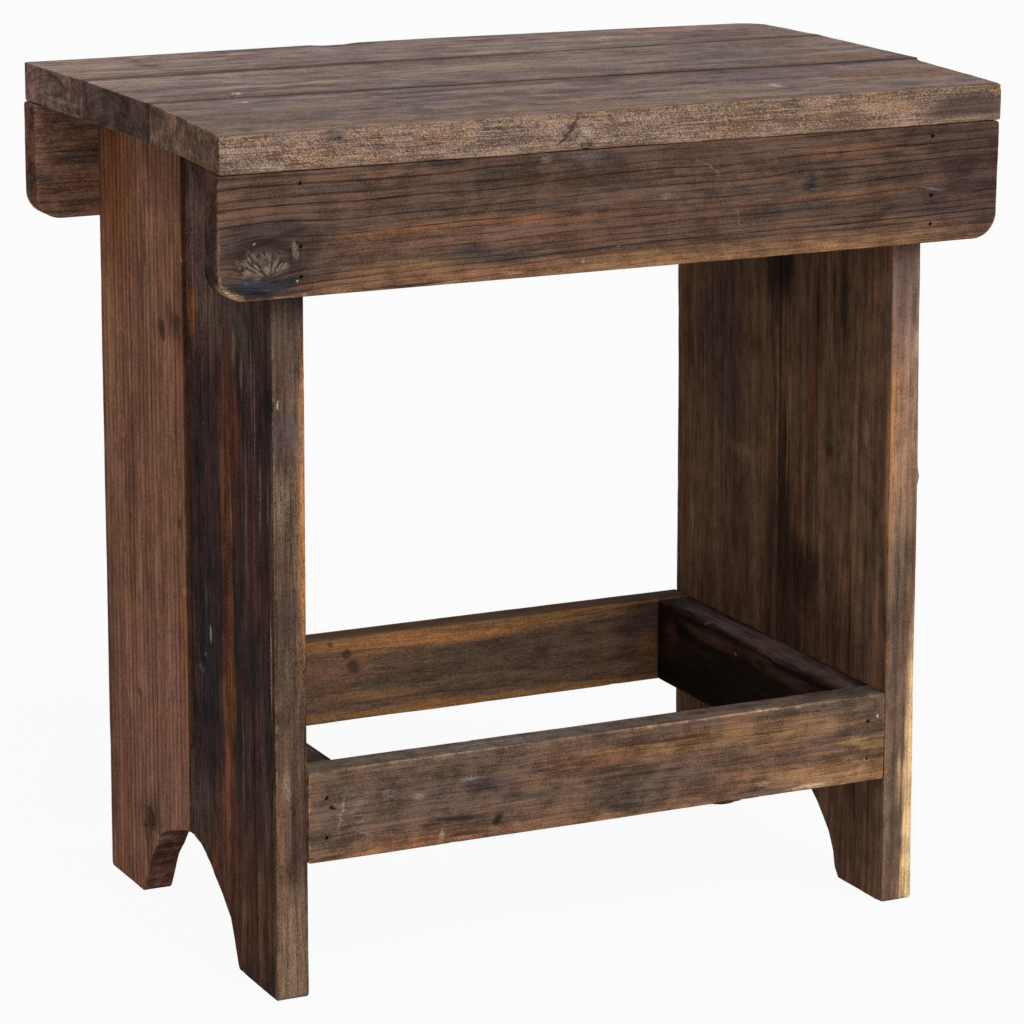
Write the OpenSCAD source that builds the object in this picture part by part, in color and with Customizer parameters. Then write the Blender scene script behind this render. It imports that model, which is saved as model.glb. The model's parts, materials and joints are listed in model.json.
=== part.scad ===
// Reclaimed-wood stool: three top boards on two aprons and two slab legs, braced by a low frame.
// Millimetres. X runs along the stool's length, Y from front to back, Z up from the floor.
// The origin is on the floor, under the middle of the whole outline.

/* [Overall] */
// Length of the two aprons, from the stool's left end
apron_len = 440; // [380:1:600]
// Depth of the stool over the outer faces of the aprons
depth = 276; // [230:1:340]
// Height of the legs, from the floor to the underside of the top
leg_h = 430; // [330:1:560]

/* [Top boards] */
// Thickness of the top boards
top_t = 21; // [16:0.5:30]
// Width of the back board
back_board_w = 78; // [60:0.5:95]
// Width of the front board at its left end
front_board_w_left = 111; // [70:0.5:120]
// Width of the front board at its right end
front_board_w_right = 98; // [70:0.5:120]
// Open joint between two neighbouring boards
board_gap = 0.6; // [0.3:0.1:2]
// How far the left end sits in from the aprons at the rear corner
left_in_rear = 1; // [0:0.5:12]
// How far the left end sits in at the rear joint
left_in_rear_joint = 5; // [0:0.5:12]
// How far the left end sits in at the front joint
left_in_front_joint = 8; // [0:0.5:12]
// How far the left end sits in at the front corner
left_in_front = 1; // [0:0.5:12]
// How far the back board runs past the aprons at the right rear corner
right_out_rear = 8; // [0:0.5:20]
// How far the back and middle boards run out at the rear joint
right_out_rear_joint = 6; // [0:0.5:20]
// How far the middle board runs out at the front joint
right_out_middle = 10; // [0:0.5:20]
// How far the front board runs out at the front joint
right_out_front_joint = 6; // [0:0.5:20]
// How far the front board runs out at the right front corner
right_out_front = 1; // [0:0.5:20]

/* [Aprons] */
// Height of the aprons
apron_h = 62; // [45:1:100]
// Thickness of the aprons
apron_t = 18; // [14:0.5:26]
// Radius of the aprons' lower corners
apron_corner_r = 14; // [4:0.5:25]

/* [Legs] */
// Thickness of the leg boards
leg_t = 17; // [14:0.5:26]
// How far the left leg stands in from the aprons' left end
left_leg_in = 35; // [15:0.5:70]
// How far the right leg stands in from the aprons' right end
right_leg_in = 32; // [15:0.5:70]
// Width of the rear board of each leg
rear_leg_board_w = 121; // [90:0.5:140]
// Open joint between the two boards of a leg
leg_joint_gap = 0.4; // [0.2:0.1:1.5]
// Width of the old rebate beside the joint of the left leg
rebate_w = 27; // [10:0.5:40]
// Depth of the old rebate
rebate_d = 2.5; // [1:0.5:5]
// Height of the lower end of the old rebate above the floor
rebate_from = 103; // [70:1:200]
// Width of the arch between the two feet of a leg, at the floor
arch_w = 144; // [90:1:170]
// Height of the arch
arch_h = 56; // [30:1:65]
// Power of the arch's curve: 2 is a parabola, and more is squarer
arch_power = 2.2; // [1.6:0.1:4]

/* [Lower frame] */
// Height of the underside of the frame above the floor
frame_z = 72; // [66:1:160]
// Height of the frame's boards
frame_h = 48; // [35:1:70]
// Thickness of the front and back stretchers
stretcher_t = 17.5; // [14:0.5:24]
// Thickness of the left and right side rails
side_rail_t = 21.5; // [16:0.5:28]
// Gap between the left leg and the stretchers' left ends
stretcher_end_gap = 1.5; // [0:0.1:3]

/* [Fixings] */
// Radius of a nail's shank
nail_r = 0.8; // [0.7:0.1:1.1]
// Radius of a nail's small head
nail_head_r = 1.2; // [1.2:0.1:2.2]
// Thickness of a nail's head
nail_head_t = 1.6; // [1:0.1:2.5]
// Length of a nail
nail_len = 40; // [35:1:45]
// Depth of a nail's head below the board's face
nail_sink = 2.4; // [0.5:0.1:4]
// Least distance between a nail over a leg and the apron's nails
nail_spacing = 5; // [3:0.5:10]
// Distance of the nails over a leg from the joints of the top boards
joint_nail_in = 18; // [10:1:22]
// Distance of the outer nails along an apron from its ends
apron_nail_in = 20; // [6:1:25]
// Distance of an apron's top nails below its upper edge
apron_nail_top = 6; // [4:0.5:12]
// Distance of an apron's bottom nails above its lower edge
apron_nail_low = 10; // [5:0.5:14]
// Distance between an apron's bottom and middle nails
apron_nail_step = 15; // [8:0.5:16]
// Distance of a stretcher's lower nail above its lower edge
stretcher_nail_low = 12; // [6:0.5:14]
// Distance of a stretcher's upper nail below its upper edge
stretcher_nail_top = 15; // [6:0.5:16]
// Length of the shorter nails that hold a side rail to its leg
rail_nail_len = 31; // [26:1:33]
// Distance between two nails of a side rail
rail_nail_pitch = 45; // [25:1:46]
// Distance of a side rail's nails from its upper and lower edges
rail_nail_edge = 10; // [6:0.5:15]
// Radius of the dowels in the joint of a leg
dowel_r = 4; // [3:0.5:5]
// Length of the dowels
dowel_len = 50; // [30:1:70]
// Height of the lower dowel above the top of the frame
dowel_low = 40; // [20:1:60]
// Distance of the upper dowel below the underside of the aprons
dowel_top = 40; // [20:1:60]
// Clearance round a nail or dowel
fit_clear = 0.1; // [0.05:0.05:0.2]

/* [Hidden] */

// Round pieces have this many sides
round_fn = 24;
// Sides of an apron's corner circle
corner_fn = 64;
// Steps along the arch
arch_steps = 36;
// A cut runs this far past a face
past = 1;

// Radius of a shank's blunt point, as a share of the shank's
tip_share = 0.25;
// Length of a shank's point, as a share of the shank's diameter
point_share = 1;

// Places along X
overhang = max(right_out_rear, right_out_rear_joint, right_out_middle, right_out_front_joint,
               right_out_front);
x_left = -(apron_len + overhang) / 2;
x_right = x_left + apron_len;
left_leg_x = x_left + left_leg_in;
right_leg_x = x_right - right_leg_in - leg_t;
left_leg_mid = left_leg_x + leg_t / 2;
right_leg_mid = right_leg_x + leg_t / 2;
left_rail_x = left_leg_x + leg_t;
right_rail_x = right_leg_x - side_rail_t;
left_rail_mid = left_rail_x + side_rail_t / 2;
right_rail_mid = right_rail_x + side_rail_t / 2;

// Places along Y
y_front = -depth / 2;
y_back = depth / 2;
leg_y_front = y_front + apron_t;
leg_y_back = y_back - apron_t;
leg_joint_y = leg_y_back - rear_leg_board_w;
rear_joint_y = y_back - back_board_w;
front_joint_left_y = y_front + front_board_w_left;
front_joint_right_y = y_front + front_board_w_right;

// Places along Z
seat_z = leg_h + top_t;
apron_z = leg_h - apron_h;
frame_top = frame_z + frame_h;

// Place in Y of the joint between the middle board and the front board, which slants along X
function front_joint_y(x) =
    front_joint_left_y + (front_joint_right_y - front_joint_left_y) * (x - x_left) / apron_len;

// A board's corner at the front joint, on the rear side of the joint (1) or on its front side (-1)
function front_joint_corner(x, side) = [x, front_joint_y(x) + side * board_gap / 2];

// A nail over a leg stays clear of the apron's nails, which run into the leg's edges
outer_nail_in = nail_sink + nail_len + nail_spacing;

// Nails driven down into the legs, two for each board and leg, and down into the aprons
leg_nail_places = [for (x = [left_leg_mid, right_leg_mid])
    for (y = [y_back - outer_nail_in, rear_joint_y + joint_nail_in, rear_joint_y - joint_nail_in,
              front_joint_y(x) + joint_nail_in, front_joint_y(x) - joint_nail_in,
              y_front + outer_nail_in]) [x, y]];
apron_top_nail_places = [for (x = [x_left + apron_nail_in, (x_left + x_right) / 2, x_right - apron_nail_in])
    for (y = [y_front + apron_t / 2, y_back - apron_t / 2]) [x, y]];
top_nail_places = concat(leg_nail_places, apron_top_nail_places);

// Nails driven through the aprons into the edges of the legs, as X and Z
apron_nail_places = [for (x = [left_leg_mid, right_leg_mid])
    for (z = [leg_h - apron_nail_top, apron_z + apron_nail_low + apron_nail_step,
              apron_z + apron_nail_low]) [x, z]];

// Nails driven through the stretchers into the ends of the side rails, as X and Z
stretcher_nail_places = [for (x = [left_rail_mid, right_rail_mid])
    for (z = [frame_z + stretcher_nail_low, frame_top - stretcher_nail_top]) [x, z]];

// Nails driven through a side rail into the leg behind it, alternately low and high, as Y and Z
rail_nail_count = 4;
rail_nail_places = [for (i = [0 : rail_nail_count - 1])
    [(i - (rail_nail_count - 1) / 2) * rail_nail_pitch,
     i % 2 == 0 ? frame_z + rail_nail_edge : frame_top - rail_nail_edge]];

// Heights of the dowels in the joint of a leg
dowel_places = [frame_top + dowel_low, apron_z - dowel_top];

// Colours, as the faces look
top_colour = [0.42, 0.37, 0.34];
apron_colour = [0.33, 0.24, 0.19];
red_leg_colour = [0.42, 0.28, 0.22];
dark_leg_colour = [0.19, 0.14, 0.13];
frame_colour = [0.32, 0.26, 0.22];
steel_colour = [0.45, 0.45, 0.46];
dowel_colour = [0.72, 0.58, 0.42];

// A square-sawn board between two corners
module board(low, high) {
    translate(low) cube(high - low);
}

// A lost-head nail that points down, with the top of its head at the origin
module nail(len, grow = 0) {
    point_t = 2 * nail_r * point_share;
    translate([0, 0, -nail_head_t]) cylinder(r = nail_head_r + grow, h = nail_head_t, $fn = round_fn);
    translate([0, 0, point_t - len])
        cylinder(r = nail_r + grow, h = len - point_t - nail_head_t, $fn = round_fn);
    translate([0, 0, -len])
        cylinder(r1 = nail_r * tip_share + grow, r2 = nail_r + grow, h = point_t, $fn = round_fn);
}

// The hole that a sunk nail leaves, open to the face above its head, with room below its point
module nail_hole(len) {
    nail(len, fit_clear);
    translate([0, 0, -past / 2])
        cylinder(r = nail_head_r + fit_clear, h = nail_sink + past, $fn = round_fn);
    translate([0, 0, -len - fit_clear])
        cylinder(r = nail_r * tip_share + fit_clear, h = past, $fn = round_fn);
}

// Every nail that goes down through the top
module at_top_nails() {
    for (place = top_nail_places) translate([place.x, place.y, seat_z - nail_sink]) children();
}

// Every nail that goes through an apron, on the front side or on the back side
module at_apron_nails(side) {
    for (place = apron_nail_places)
        translate([place[0], side * (depth / 2 - nail_sink), place[1]]) rotate([-90 * side, 0, 0]) children();
}

// Every nail that goes through a stretcher, on the front side or on the back side
module at_stretcher_nails(side) {
    face_y = side < 0 ? leg_y_front : leg_y_back;
    for (place = stretcher_nail_places)
        translate([place[0], face_y - side * nail_sink, place[1]]) rotate([-90 * side, 0, 0]) children();
}

// Every nail of a side rail, sunk in the rail's inner face
module at_rail_nails(side) {
    face_x = side < 0 ? left_rail_x + side_rail_t : right_rail_x;
    for (place = rail_nail_places)
        translate([face_x + side * nail_sink, place[0], place[1]]) rotate([0, -90 * side, 0]) children();
}

// Both dowels of a leg whose middle is at x, half in each board
module at_dowels(x) {
    for (z = dowel_places)
        translate([x, leg_joint_y - (leg_joint_gap + dowel_len) / 2, z]) rotate([-90, 0, 0]) children();
}

// A dowel that stands on the origin
module dowel(grow = 0) {
    translate([0, 0, -grow]) cylinder(r = dowel_r + grow, h = dowel_len + 2 * grow, $fn = round_fn);
}

// A top board from its four corners in plan, with the holes of the top's nails
module top_board(corners) {
    color(top_colour) difference() {
        translate([0, 0, leg_h]) linear_extrude(top_t) polygon(corners);
        at_top_nails() nail_hole(nail_len);
    }
}

module top_board_back() {
    top_board([
        [x_left + left_in_rear, y_back],
        [x_left + left_in_rear_joint, rear_joint_y + board_gap / 2],
        [x_right + right_out_rear_joint, rear_joint_y + board_gap / 2],
        [x_right + right_out_rear, y_back]]);
}

module top_board_middle() {
    top_board([
        [x_left + left_in_rear_joint, rear_joint_y - board_gap / 2],
        front_joint_corner(x_left + left_in_front_joint, 1),
        front_joint_corner(x_right + right_out_middle, 1),
        [x_right + right_out_rear_joint, rear_joint_y - board_gap / 2]]);
}

module top_board_front() {
    top_board([
        front_joint_corner(x_left + left_in_front_joint, -1),
        [x_left + left_in_front, y_front],
        [x_right + right_out_front, y_front],
        front_joint_corner(x_right + right_out_front_joint, -1)]);
}

// The face of an apron, with its two lower corners rounded
module apron_face() {
    translate([x_left, apron_z + apron_corner_r]) square([apron_len, apron_h - apron_corner_r]);
    translate([x_left + apron_corner_r, apron_z]) square([apron_len - 2 * apron_corner_r, apron_h]);
    for (x = [x_left + apron_corner_r, x_right - apron_corner_r])
        translate([x, apron_z + apron_corner_r]) circle(r = apron_corner_r, $fn = corner_fn);
}

module apron(side) {
    inner_y = side < 0 ? leg_y_front : y_back;
    color(apron_colour) difference() {
        translate([0, inner_y, 0]) rotate([90, 0, 0]) linear_extrude(apron_t) apron_face();
        at_apron_nails(side) nail_hole(nail_len);
        at_top_nails() nail_hole(nail_len);
    }
}

module apron_front() {
    apron(-1);
}

module apron_back() {
    apron(1);
}

// The arch's outline over the floor: its height falls off with a power of the distance from the middle
module arch_outline() {
    half = arch_w / 2;
    curve = [for (i = [0 : arch_steps])
        let (y = half * (2 * i / arch_steps - 1)) [y, arch_h * (1 - pow(abs(y) / half, arch_power))]];
    polygon(concat([[-half, -past]], curve, [[half, -past]]));
}

// What is cut from a leg that starts at x: the arch and the holes of its fixings
module leg_cuts(x, side) {
    translate([x - past, 0, 0]) rotate([90, 0, 90]) linear_extrude(leg_t + 2 * past) arch_outline();
    at_top_nails() nail_hole(nail_len);
    for (face = [-1, 1]) at_apron_nails(face) nail_hole(nail_len);
    at_rail_nails(side) nail_hole(rail_nail_len);
    at_dowels(x + leg_t / 2) dowel(fit_clear);
}

module leg_front_board(x, side) {
    difference() {
        board([x, leg_y_front, 0], [x + leg_t, leg_joint_y - leg_joint_gap, leg_h]);
        leg_cuts(x, side);
    }
}

module leg_rear_board(x, side) {
    difference() {
        board([x, leg_joint_y, 0], [x + leg_t, leg_y_back, leg_h]);
        leg_cuts(x, side);
    }
}

module leg_left_front_board() {
    rebate_y = leg_joint_y - leg_joint_gap - rebate_w;
    color(dark_leg_colour) difference() {
        leg_front_board(left_leg_x, -1);
        board([left_leg_x - past, rebate_y, rebate_from],
              [left_leg_x + rebate_d, leg_joint_y + past, leg_h + past]);
    }
}

module leg_left_rear_board() {
    color(red_leg_colour) leg_rear_board(left_leg_x, -1);
}

module leg_right_front_board() {
    color(dark_leg_colour) leg_front_board(right_leg_x, 1);
}

module leg_right_rear_board() {
    color(dark_leg_colour) leg_rear_board(right_leg_x, 1);
}

module stretcher(side) {
    low_y = side < 0 ? leg_y_front : leg_y_back - stretcher_t;
    color(frame_colour) difference() {
        board([left_rail_x + stretcher_end_gap, low_y, frame_z],
              [right_leg_x, low_y + stretcher_t, frame_top]);
        at_stretcher_nails(side) nail_hole(nail_len);
    }
}

module stretcher_front() {
    stretcher(-1);
}

module stretcher_back() {
    stretcher(1);
}

// A side rail between the two stretchers, against the inner face of a leg
module side_rail(x, side) {
    color(frame_colour) difference() {
        board([x, leg_y_front + stretcher_t, frame_z],
              [x + side_rail_t, leg_y_back - stretcher_t, frame_top]);
        for (face = [-1, 1]) at_stretcher_nails(face) nail_hole(nail_len);
        at_rail_nails(side) nail_hole(rail_nail_len);
    }
}

module side_rail_left() {
    side_rail(left_rail_x, -1);
}

module side_rail_right() {
    side_rail(right_rail_x, 1);
}

module top_board_nails() {
    color(steel_colour) at_top_nails() nail(nail_len);
}

module apron_nails() {
    color(steel_colour) for (side = [-1, 1]) at_apron_nails(side) nail(nail_len);
}

module stretcher_nails() {
    color(steel_colour) for (side = [-1, 1]) at_stretcher_nails(side) nail(nail_len);
}

module rail_nails() {
    color(steel_colour) for (side = [-1, 1]) at_rail_nails(side) nail(rail_nail_len);
}

module leg_joint_dowels() {
    color(dowel_colour) for (x = [left_leg_mid, right_leg_mid])
        at_dowels(x) dowel();
}

top_board_back();
top_board_middle();
top_board_front();
apron_front();
apron_back();
leg_left_front_board();
leg_left_rear_board();
leg_right_front_board();
leg_right_rear_board();
stretcher_front();
stretcher_back();
side_rail_left();
side_rail_right();
top_board_nails();
apron_nails();
stretcher_nails();
rail_nails();
leg_joint_dowels();
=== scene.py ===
# %% [markdown]
# A low stool of reclaimed boards. Three lie side by side as its top, two aprons run under their long
# edges, two slab legs with arched feet stand between the aprons, and a low frame braces the legs. The
# construction model gives every board its place. Here each board becomes a dense mesh with worn arrises,
# dents and cracks, and gets a wood finish made only of nodes.

# %% Load the frame
import json
import math
from itertools import product
import bpy
import numpy as np
from mathutils import Matrix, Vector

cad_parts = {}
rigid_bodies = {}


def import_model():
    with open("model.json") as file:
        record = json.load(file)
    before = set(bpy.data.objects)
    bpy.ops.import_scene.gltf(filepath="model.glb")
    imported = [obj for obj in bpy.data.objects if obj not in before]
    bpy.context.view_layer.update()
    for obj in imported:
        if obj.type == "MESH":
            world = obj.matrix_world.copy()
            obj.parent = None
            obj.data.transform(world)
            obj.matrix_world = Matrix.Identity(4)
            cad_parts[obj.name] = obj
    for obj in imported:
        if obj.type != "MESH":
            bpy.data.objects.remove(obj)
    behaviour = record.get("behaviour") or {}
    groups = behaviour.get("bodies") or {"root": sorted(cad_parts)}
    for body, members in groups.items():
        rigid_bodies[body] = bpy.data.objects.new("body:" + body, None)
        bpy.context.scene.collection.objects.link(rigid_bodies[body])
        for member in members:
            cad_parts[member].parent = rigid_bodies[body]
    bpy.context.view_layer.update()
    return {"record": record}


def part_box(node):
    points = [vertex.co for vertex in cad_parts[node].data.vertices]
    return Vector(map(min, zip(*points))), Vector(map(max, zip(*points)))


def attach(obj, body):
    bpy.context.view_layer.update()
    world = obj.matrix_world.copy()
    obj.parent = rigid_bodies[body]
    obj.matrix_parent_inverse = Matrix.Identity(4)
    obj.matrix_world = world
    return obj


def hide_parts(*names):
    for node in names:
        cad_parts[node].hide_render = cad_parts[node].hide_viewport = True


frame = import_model()
MM = 0.001

# %% [markdown]
# The camera comes first, because every later choice is judged through it. It looks from the front left and
# a little from above, with a long lens, so that the lines hardly converge. Its place, turn and lens were
# worked out from the stool's straight edges, whose real lengths the construction model knows.

# %% Camera
TURN = math.radians(-25.96)       # to the left of the front
RISE = math.radians(13.96)        # above the floor
TILT = math.radians(0.24)         # anticlockwise, seen from behind the camera
DISTANCE = 2.24409                # metres from the point it aims at
AIM = np.array([-0.005, 0.0, 0.225])
SLIDE_RIGHT, SLIDE_UP = 0.00428, -0.01337
LENS = 145.96                     # mm, on a sensor 36 mm wide

back = np.array([math.sin(TURN) * math.cos(RISE), -math.cos(TURN) * math.cos(RISE), math.sin(RISE)])
level = np.array([math.cos(TURN), math.sin(TURN), 0.0])
right = level * math.cos(TILT) + np.cross(back, level) * math.sin(TILT)
up = np.cross(back, right)
place = AIM + back * DISTANCE + right * SLIDE_RIGHT + up * SLIDE_UP

camera = bpy.data.objects.new("camera", bpy.data.cameras.new("camera"))
camera.data.sensor_width = 36
camera.data.lens = LENS
turned = np.eye(4)
turned[:3] = np.stack([right, up, back, place], -1)
camera.matrix_world = Matrix(turned.tolist())
bpy.context.scene.collection.objects.link(camera)
bpy.context.scene.camera = camera
print("camera at", place.round(4), "looking along", (-back).round(3))

# %% [markdown]
# Nothing on an old board is quite straight, so every surface needs smooth random values. Blender has noise
# textures for colour, but a shape is easier to steer with numpy: one function gives smooth noise at any
# point, and a second piles up finer and finer layers of it.

# %% Random surfaces
PRIMES = np.array([73856093, 19349663, 83492791])    # they spread the cells over the table of values
TABLE = 4096


def noise(points, size, seed):
    """Smooth values from -1 to 1. Space is cut into cells of the given size, each corner of a cell has a
    random value, and inside the cell the eight corners blend by 3t*t - 2t*t*t along each axis."""
    table = np.random.default_rng(seed).uniform(-1, 1, TABLE)
    cell = points / np.asarray(size, float)
    corner = np.floor(cell).astype(np.int64)
    t = cell - corner
    t = t * t * (3 - 2 * t)
    total = np.zeros(len(points))
    for step in np.ndindex(2, 2, 2):
        weight = np.prod(np.where(np.array(step) == 1, t, 1 - t), axis=1)
        total += weight * table[((corner + step) @ PRIMES) % TABLE]
    return total


def layers(points, size, seed, count=4):
    """Noise with detail: each further layer is half as large and half as strong as the one before it.
    Dividing by 1.6 brings their sum back to about -1 to 1."""
    return sum(noise(points, np.asarray(size, float) / 2 ** n, seed + n) / 2 ** n for n in range(count)) / 1.6


print("noise spans", layers(np.random.default_rng(1).uniform(0, 500, (5000, 3)), 40, 3).round(2)[:3])

# %% [markdown]
# A board is a box with worn arrises. Blender's Bevel modifier rounds every arris alike, but here the
# rounding comes and goes. So each board starts as a lattice on the surface of a box, with its lines close
# together at the arrises and at each dent, and a formula rounds it afterwards.

# %% Lattice of a box
AT_ARRIS = (0, 0.35, 0.7, 1.1, 1.6, 2.2, 3.0, 4.2)     # mm from the arris
CLOSEST = 0.14                                         # mm, lines nearer than this become one


def lattice_lines(length, step, extra=()):
    """Places of lattice lines from 0 to length: close together at both ends, a step apart in the
    middle, and at each extra place."""
    end = np.array(AT_ARRIS)
    middle = np.arange(end[-1] + step, length - end[-1] - step / 2, step)
    places = np.unique(np.round(np.concatenate([end, middle, length - end, np.ravel(extra)]), 2))
    places = places[(places > 0.1) & (places < length - 0.1)]
    places = places[np.r_[True, np.diff(places) > CLOSEST]]
    return np.r_[0, places, length]


def box_lattice(*axes):
    """Every surface point of a lattice, once, and the quads between them. A quad on the high side of
    an axis runs round the other two axes in turn, so that it faces outwards, and its twin on the
    low side runs the other way."""
    count = [len(a) for a in axes]
    number, quads = np.arange(np.prod(count)).reshape(count), []
    for axis in range(3):
        for side in (0, -1):
            grid = np.transpose(number, [(axis + n) % 3 for n in range(3)])[side]
            quad = np.stack([grid[:-1, :-1], grid[1:, :-1], grid[1:, 1:], grid[:-1, 1:]], -1).reshape(-1, 4)
            quads.append(quad if side else quad[:, ::-1])
    used, quads = np.unique(np.concatenate(quads), return_inverse=True)
    places = np.unravel_index(used, count)
    return np.stack([a[n] for a, n in zip(axes, places)], -1), quads.reshape(-1, 4)


print("a lattice of 8 x 4 x 4 lines has", len(box_lattice(*map(np.arange, (8, 4, 4)))[1]), "quads")

# %% Round the arrises
def rounded(local, size, radius, corner_radius):
    """Rounds the arrises of a plate. A surface point has a distance to the nearer face and one to the
    outline. Where both are under the radius, the point moves onto the circle through them, and its
    direction from the circle's middle is its normal. In the plane, points near a corner move onto
    rings about the middle of the corner's circle."""
    near = np.minimum(local, size - local)
    sign = np.where(local * 2 < size, -1.0, 1.0)
    du, dv, dw = near.T
    m = np.minimum(du, dv)
    a, b = np.clip(1 - dw / radius, 0, 1), np.clip(1 - m / radius, 0, 1)
    q = np.hypot(a, b)
    a, b = a / q, b / q
    dw = radius * (np.maximum(dw / radius, 1) - a)
    m_new = radius * (np.maximum(m / radius, 1) - b)
    in_corner = (du < corner_radius) & (dv < corner_radius)
    ring = np.maximum(corner_radius - m, 1e-6)
    cu, cv = (corner_radius - du) / ring, (corner_radius - dv) / ring
    n = np.maximum(np.hypot(cu, cv), 1e-9)
    cu, cv = np.where(in_corner, cu / n, du <= dv), np.where(in_corner, cv / n, dv < du)
    du, dv = (np.where(in_corner, corner_radius - (corner_radius - m_new) * c, np.where(c > 0.5, m_new, d))
              for c, d in ((cu, du), (cv, dv)))
    near = np.stack([du, dv, dw], -1)
    normal = sign * np.stack([cu * b, cv * b, a], -1)
    return np.where(sign < 0, near, size - near), normal


plate_corner = rounded(np.zeros((1, 3)), np.array([100.0, 50, 20]), np.ones(1), 1.6)[0]
print("a radius of 1 mm takes a plate's corner in to", plate_corner.round(2)[0], "mm")

# %% [markdown]
# Dents, chips and cracks are hollows in the mesh, because bump alone would leave the outline whole. They
# stand in tables, with commas between the rows. A dent over a nail is drilled clean, and a knot's core is
# torn out in splinters.

# %% Dent and tear a board
DRILLED = 5        # a dent as hard as this has a clean rim
FINE_DENT = 6      # a dent narrower than this in mm gets lattice lines of its own


def rows(table):
    """The words of each row of a table."""
    return [row.split() for row in table.split(",") if row.strip()]


def hollows(table):
    """Dents from a table. Each row gives a centre, a size, a depth and a hardness, lengths in mm."""
    return [(v[:3], v[3:6], v[6], v[7]) for v in (list(map(float, row)) for row in rows(table))]


def dented(points, normals, dents):
    """Sinks points into dents. Each dent is an ellipsoid: its depth falls from its full value in the
    middle to nothing at the rim, steeply if it is hard. A soft dent is torn out, not drilled, so noise
    makes its rim and its floor uneven."""
    depth = np.zeros(len(points))
    for centre, size, deep, hard in dents:
        q = np.linalg.norm((points - centre) / size, axis=1)
        if hard < DRILLED:
            torn = layers(points, np.maximum(size / 2, 1.2), int(deep * 100) + len(dents), 3)
            q, deep = q * (1 + 0.45 * torn), deep * (0.75 + 0.5 * torn)
        depth = np.maximum(depth, deep * np.clip((1 - q) * hard, 0, 1))
    return points - normals * depth[:, None], depth


def splintered(points, normals, places, seed):
    """Tears places of the front face open. Each place is an ellipsoid with its centre, size, depth and a
    pivot in X and Z from which its splinters fan out. Ridges of noise, narrow round the pivot and long
    away from it, rise from the torn floor. Gives the points, the share torn and the height of the crests."""
    share, crest = np.zeros(len(points)), np.ones(len(points))
    for centre, size, deep, (pivot_x, pivot_z) in places:
        x, z = points[:, 0] - pivot_x, points[:, 2] - pivot_z
        away = np.hypot(x, z)
        turn = np.arctan2(z, x) * np.hypot(centre[0] - pivot_x, centre[2] - pivot_z)
        fan = np.stack([turn, away, 0 * away], -1)
        rim = 0.5 * layers(points, (6, 6, 6), seed + 3, 3) + 0.35 * layers(fan, (2.2, 12, 9), seed + 5, 2)
        reach = np.linalg.norm((points - centre) / size, axis=1) + rim
        ridge = np.clip(1 - np.abs(layers(fan, (2.0, 11, 9), seed + 7, 3)) * 2.8, 0, 1)
        here = np.clip((1 - reach) * 3.5, 0, 1)
        points = points - normals * (here * deep * (0.25 + 0.75 * ridge))[:, None]
        share = np.maximum(share, here)
        crest = np.where(here > 0.02, 1 - ridge, crest)
    return points, share, crest


print("a dent:", hollows("-168 98 450.5 6 4.5 2 .8 3"))

# %% [markdown]
# One function makes any board. It takes the board's box from the construction model, rounds the arrises by
# a radius that wanders, bends the plate to its true outline, and lowers the faces by noise that stretches
# along the grain, because soft wood wears faster than hard wood. All wear goes inwards, so no board leaves
# its box. The glued faces inside a leg aren't worn, so that no light falls through the joint.

# %% Settings of the boards
LAYS = {"along_x": (0, 1, 2), "on_edge_x": (0, 2, 1), "upright": (2, 1, 0), "on_edge_y": (1, 2, 0)}
STEPS = (2.6, 1.6, 1.9)          # mm between lattice lines along, across and through a board
WANDER = 0.75                    # share by which an arris's radius wanders
CHIP_DEEP, CHIP_FROM = 3.2, 0.42  # mm, and how high the noise is where a chip starts
THINNEST, WIDEST = 0.25, 12      # mm, limits of an arris's radius
RELIEF = 0.3                     # mm by which wear lowers a face
GRAIN, ACROSS = 110.0, 6.0       # mm, size of the worn hollows along and across the grain
FAR = 99.0                       # mm, when there is no joint
boards = {}                      # each node's piece, lay and seed
print("a board can lie", ", ".join(LAYS))


# %% Make a board
def add_mesh(name, points, quads, values):
    """A mesh object at the origin from points in mm, with a value for each point under each name."""
    mesh = bpy.data.meshes.new(name)
    mesh.from_pydata(points * MM, [], quads)
    mesh.shade_smooth()
    for key, value in values.items():
        mesh.attributes.new(key, "FLOAT", "POINT").data.foreach_set("value", value.astype(np.float32))
    piece = bpy.data.objects.new(name, mesh)
    bpy.context.scene.collection.objects.link(piece)
    return piece


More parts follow.
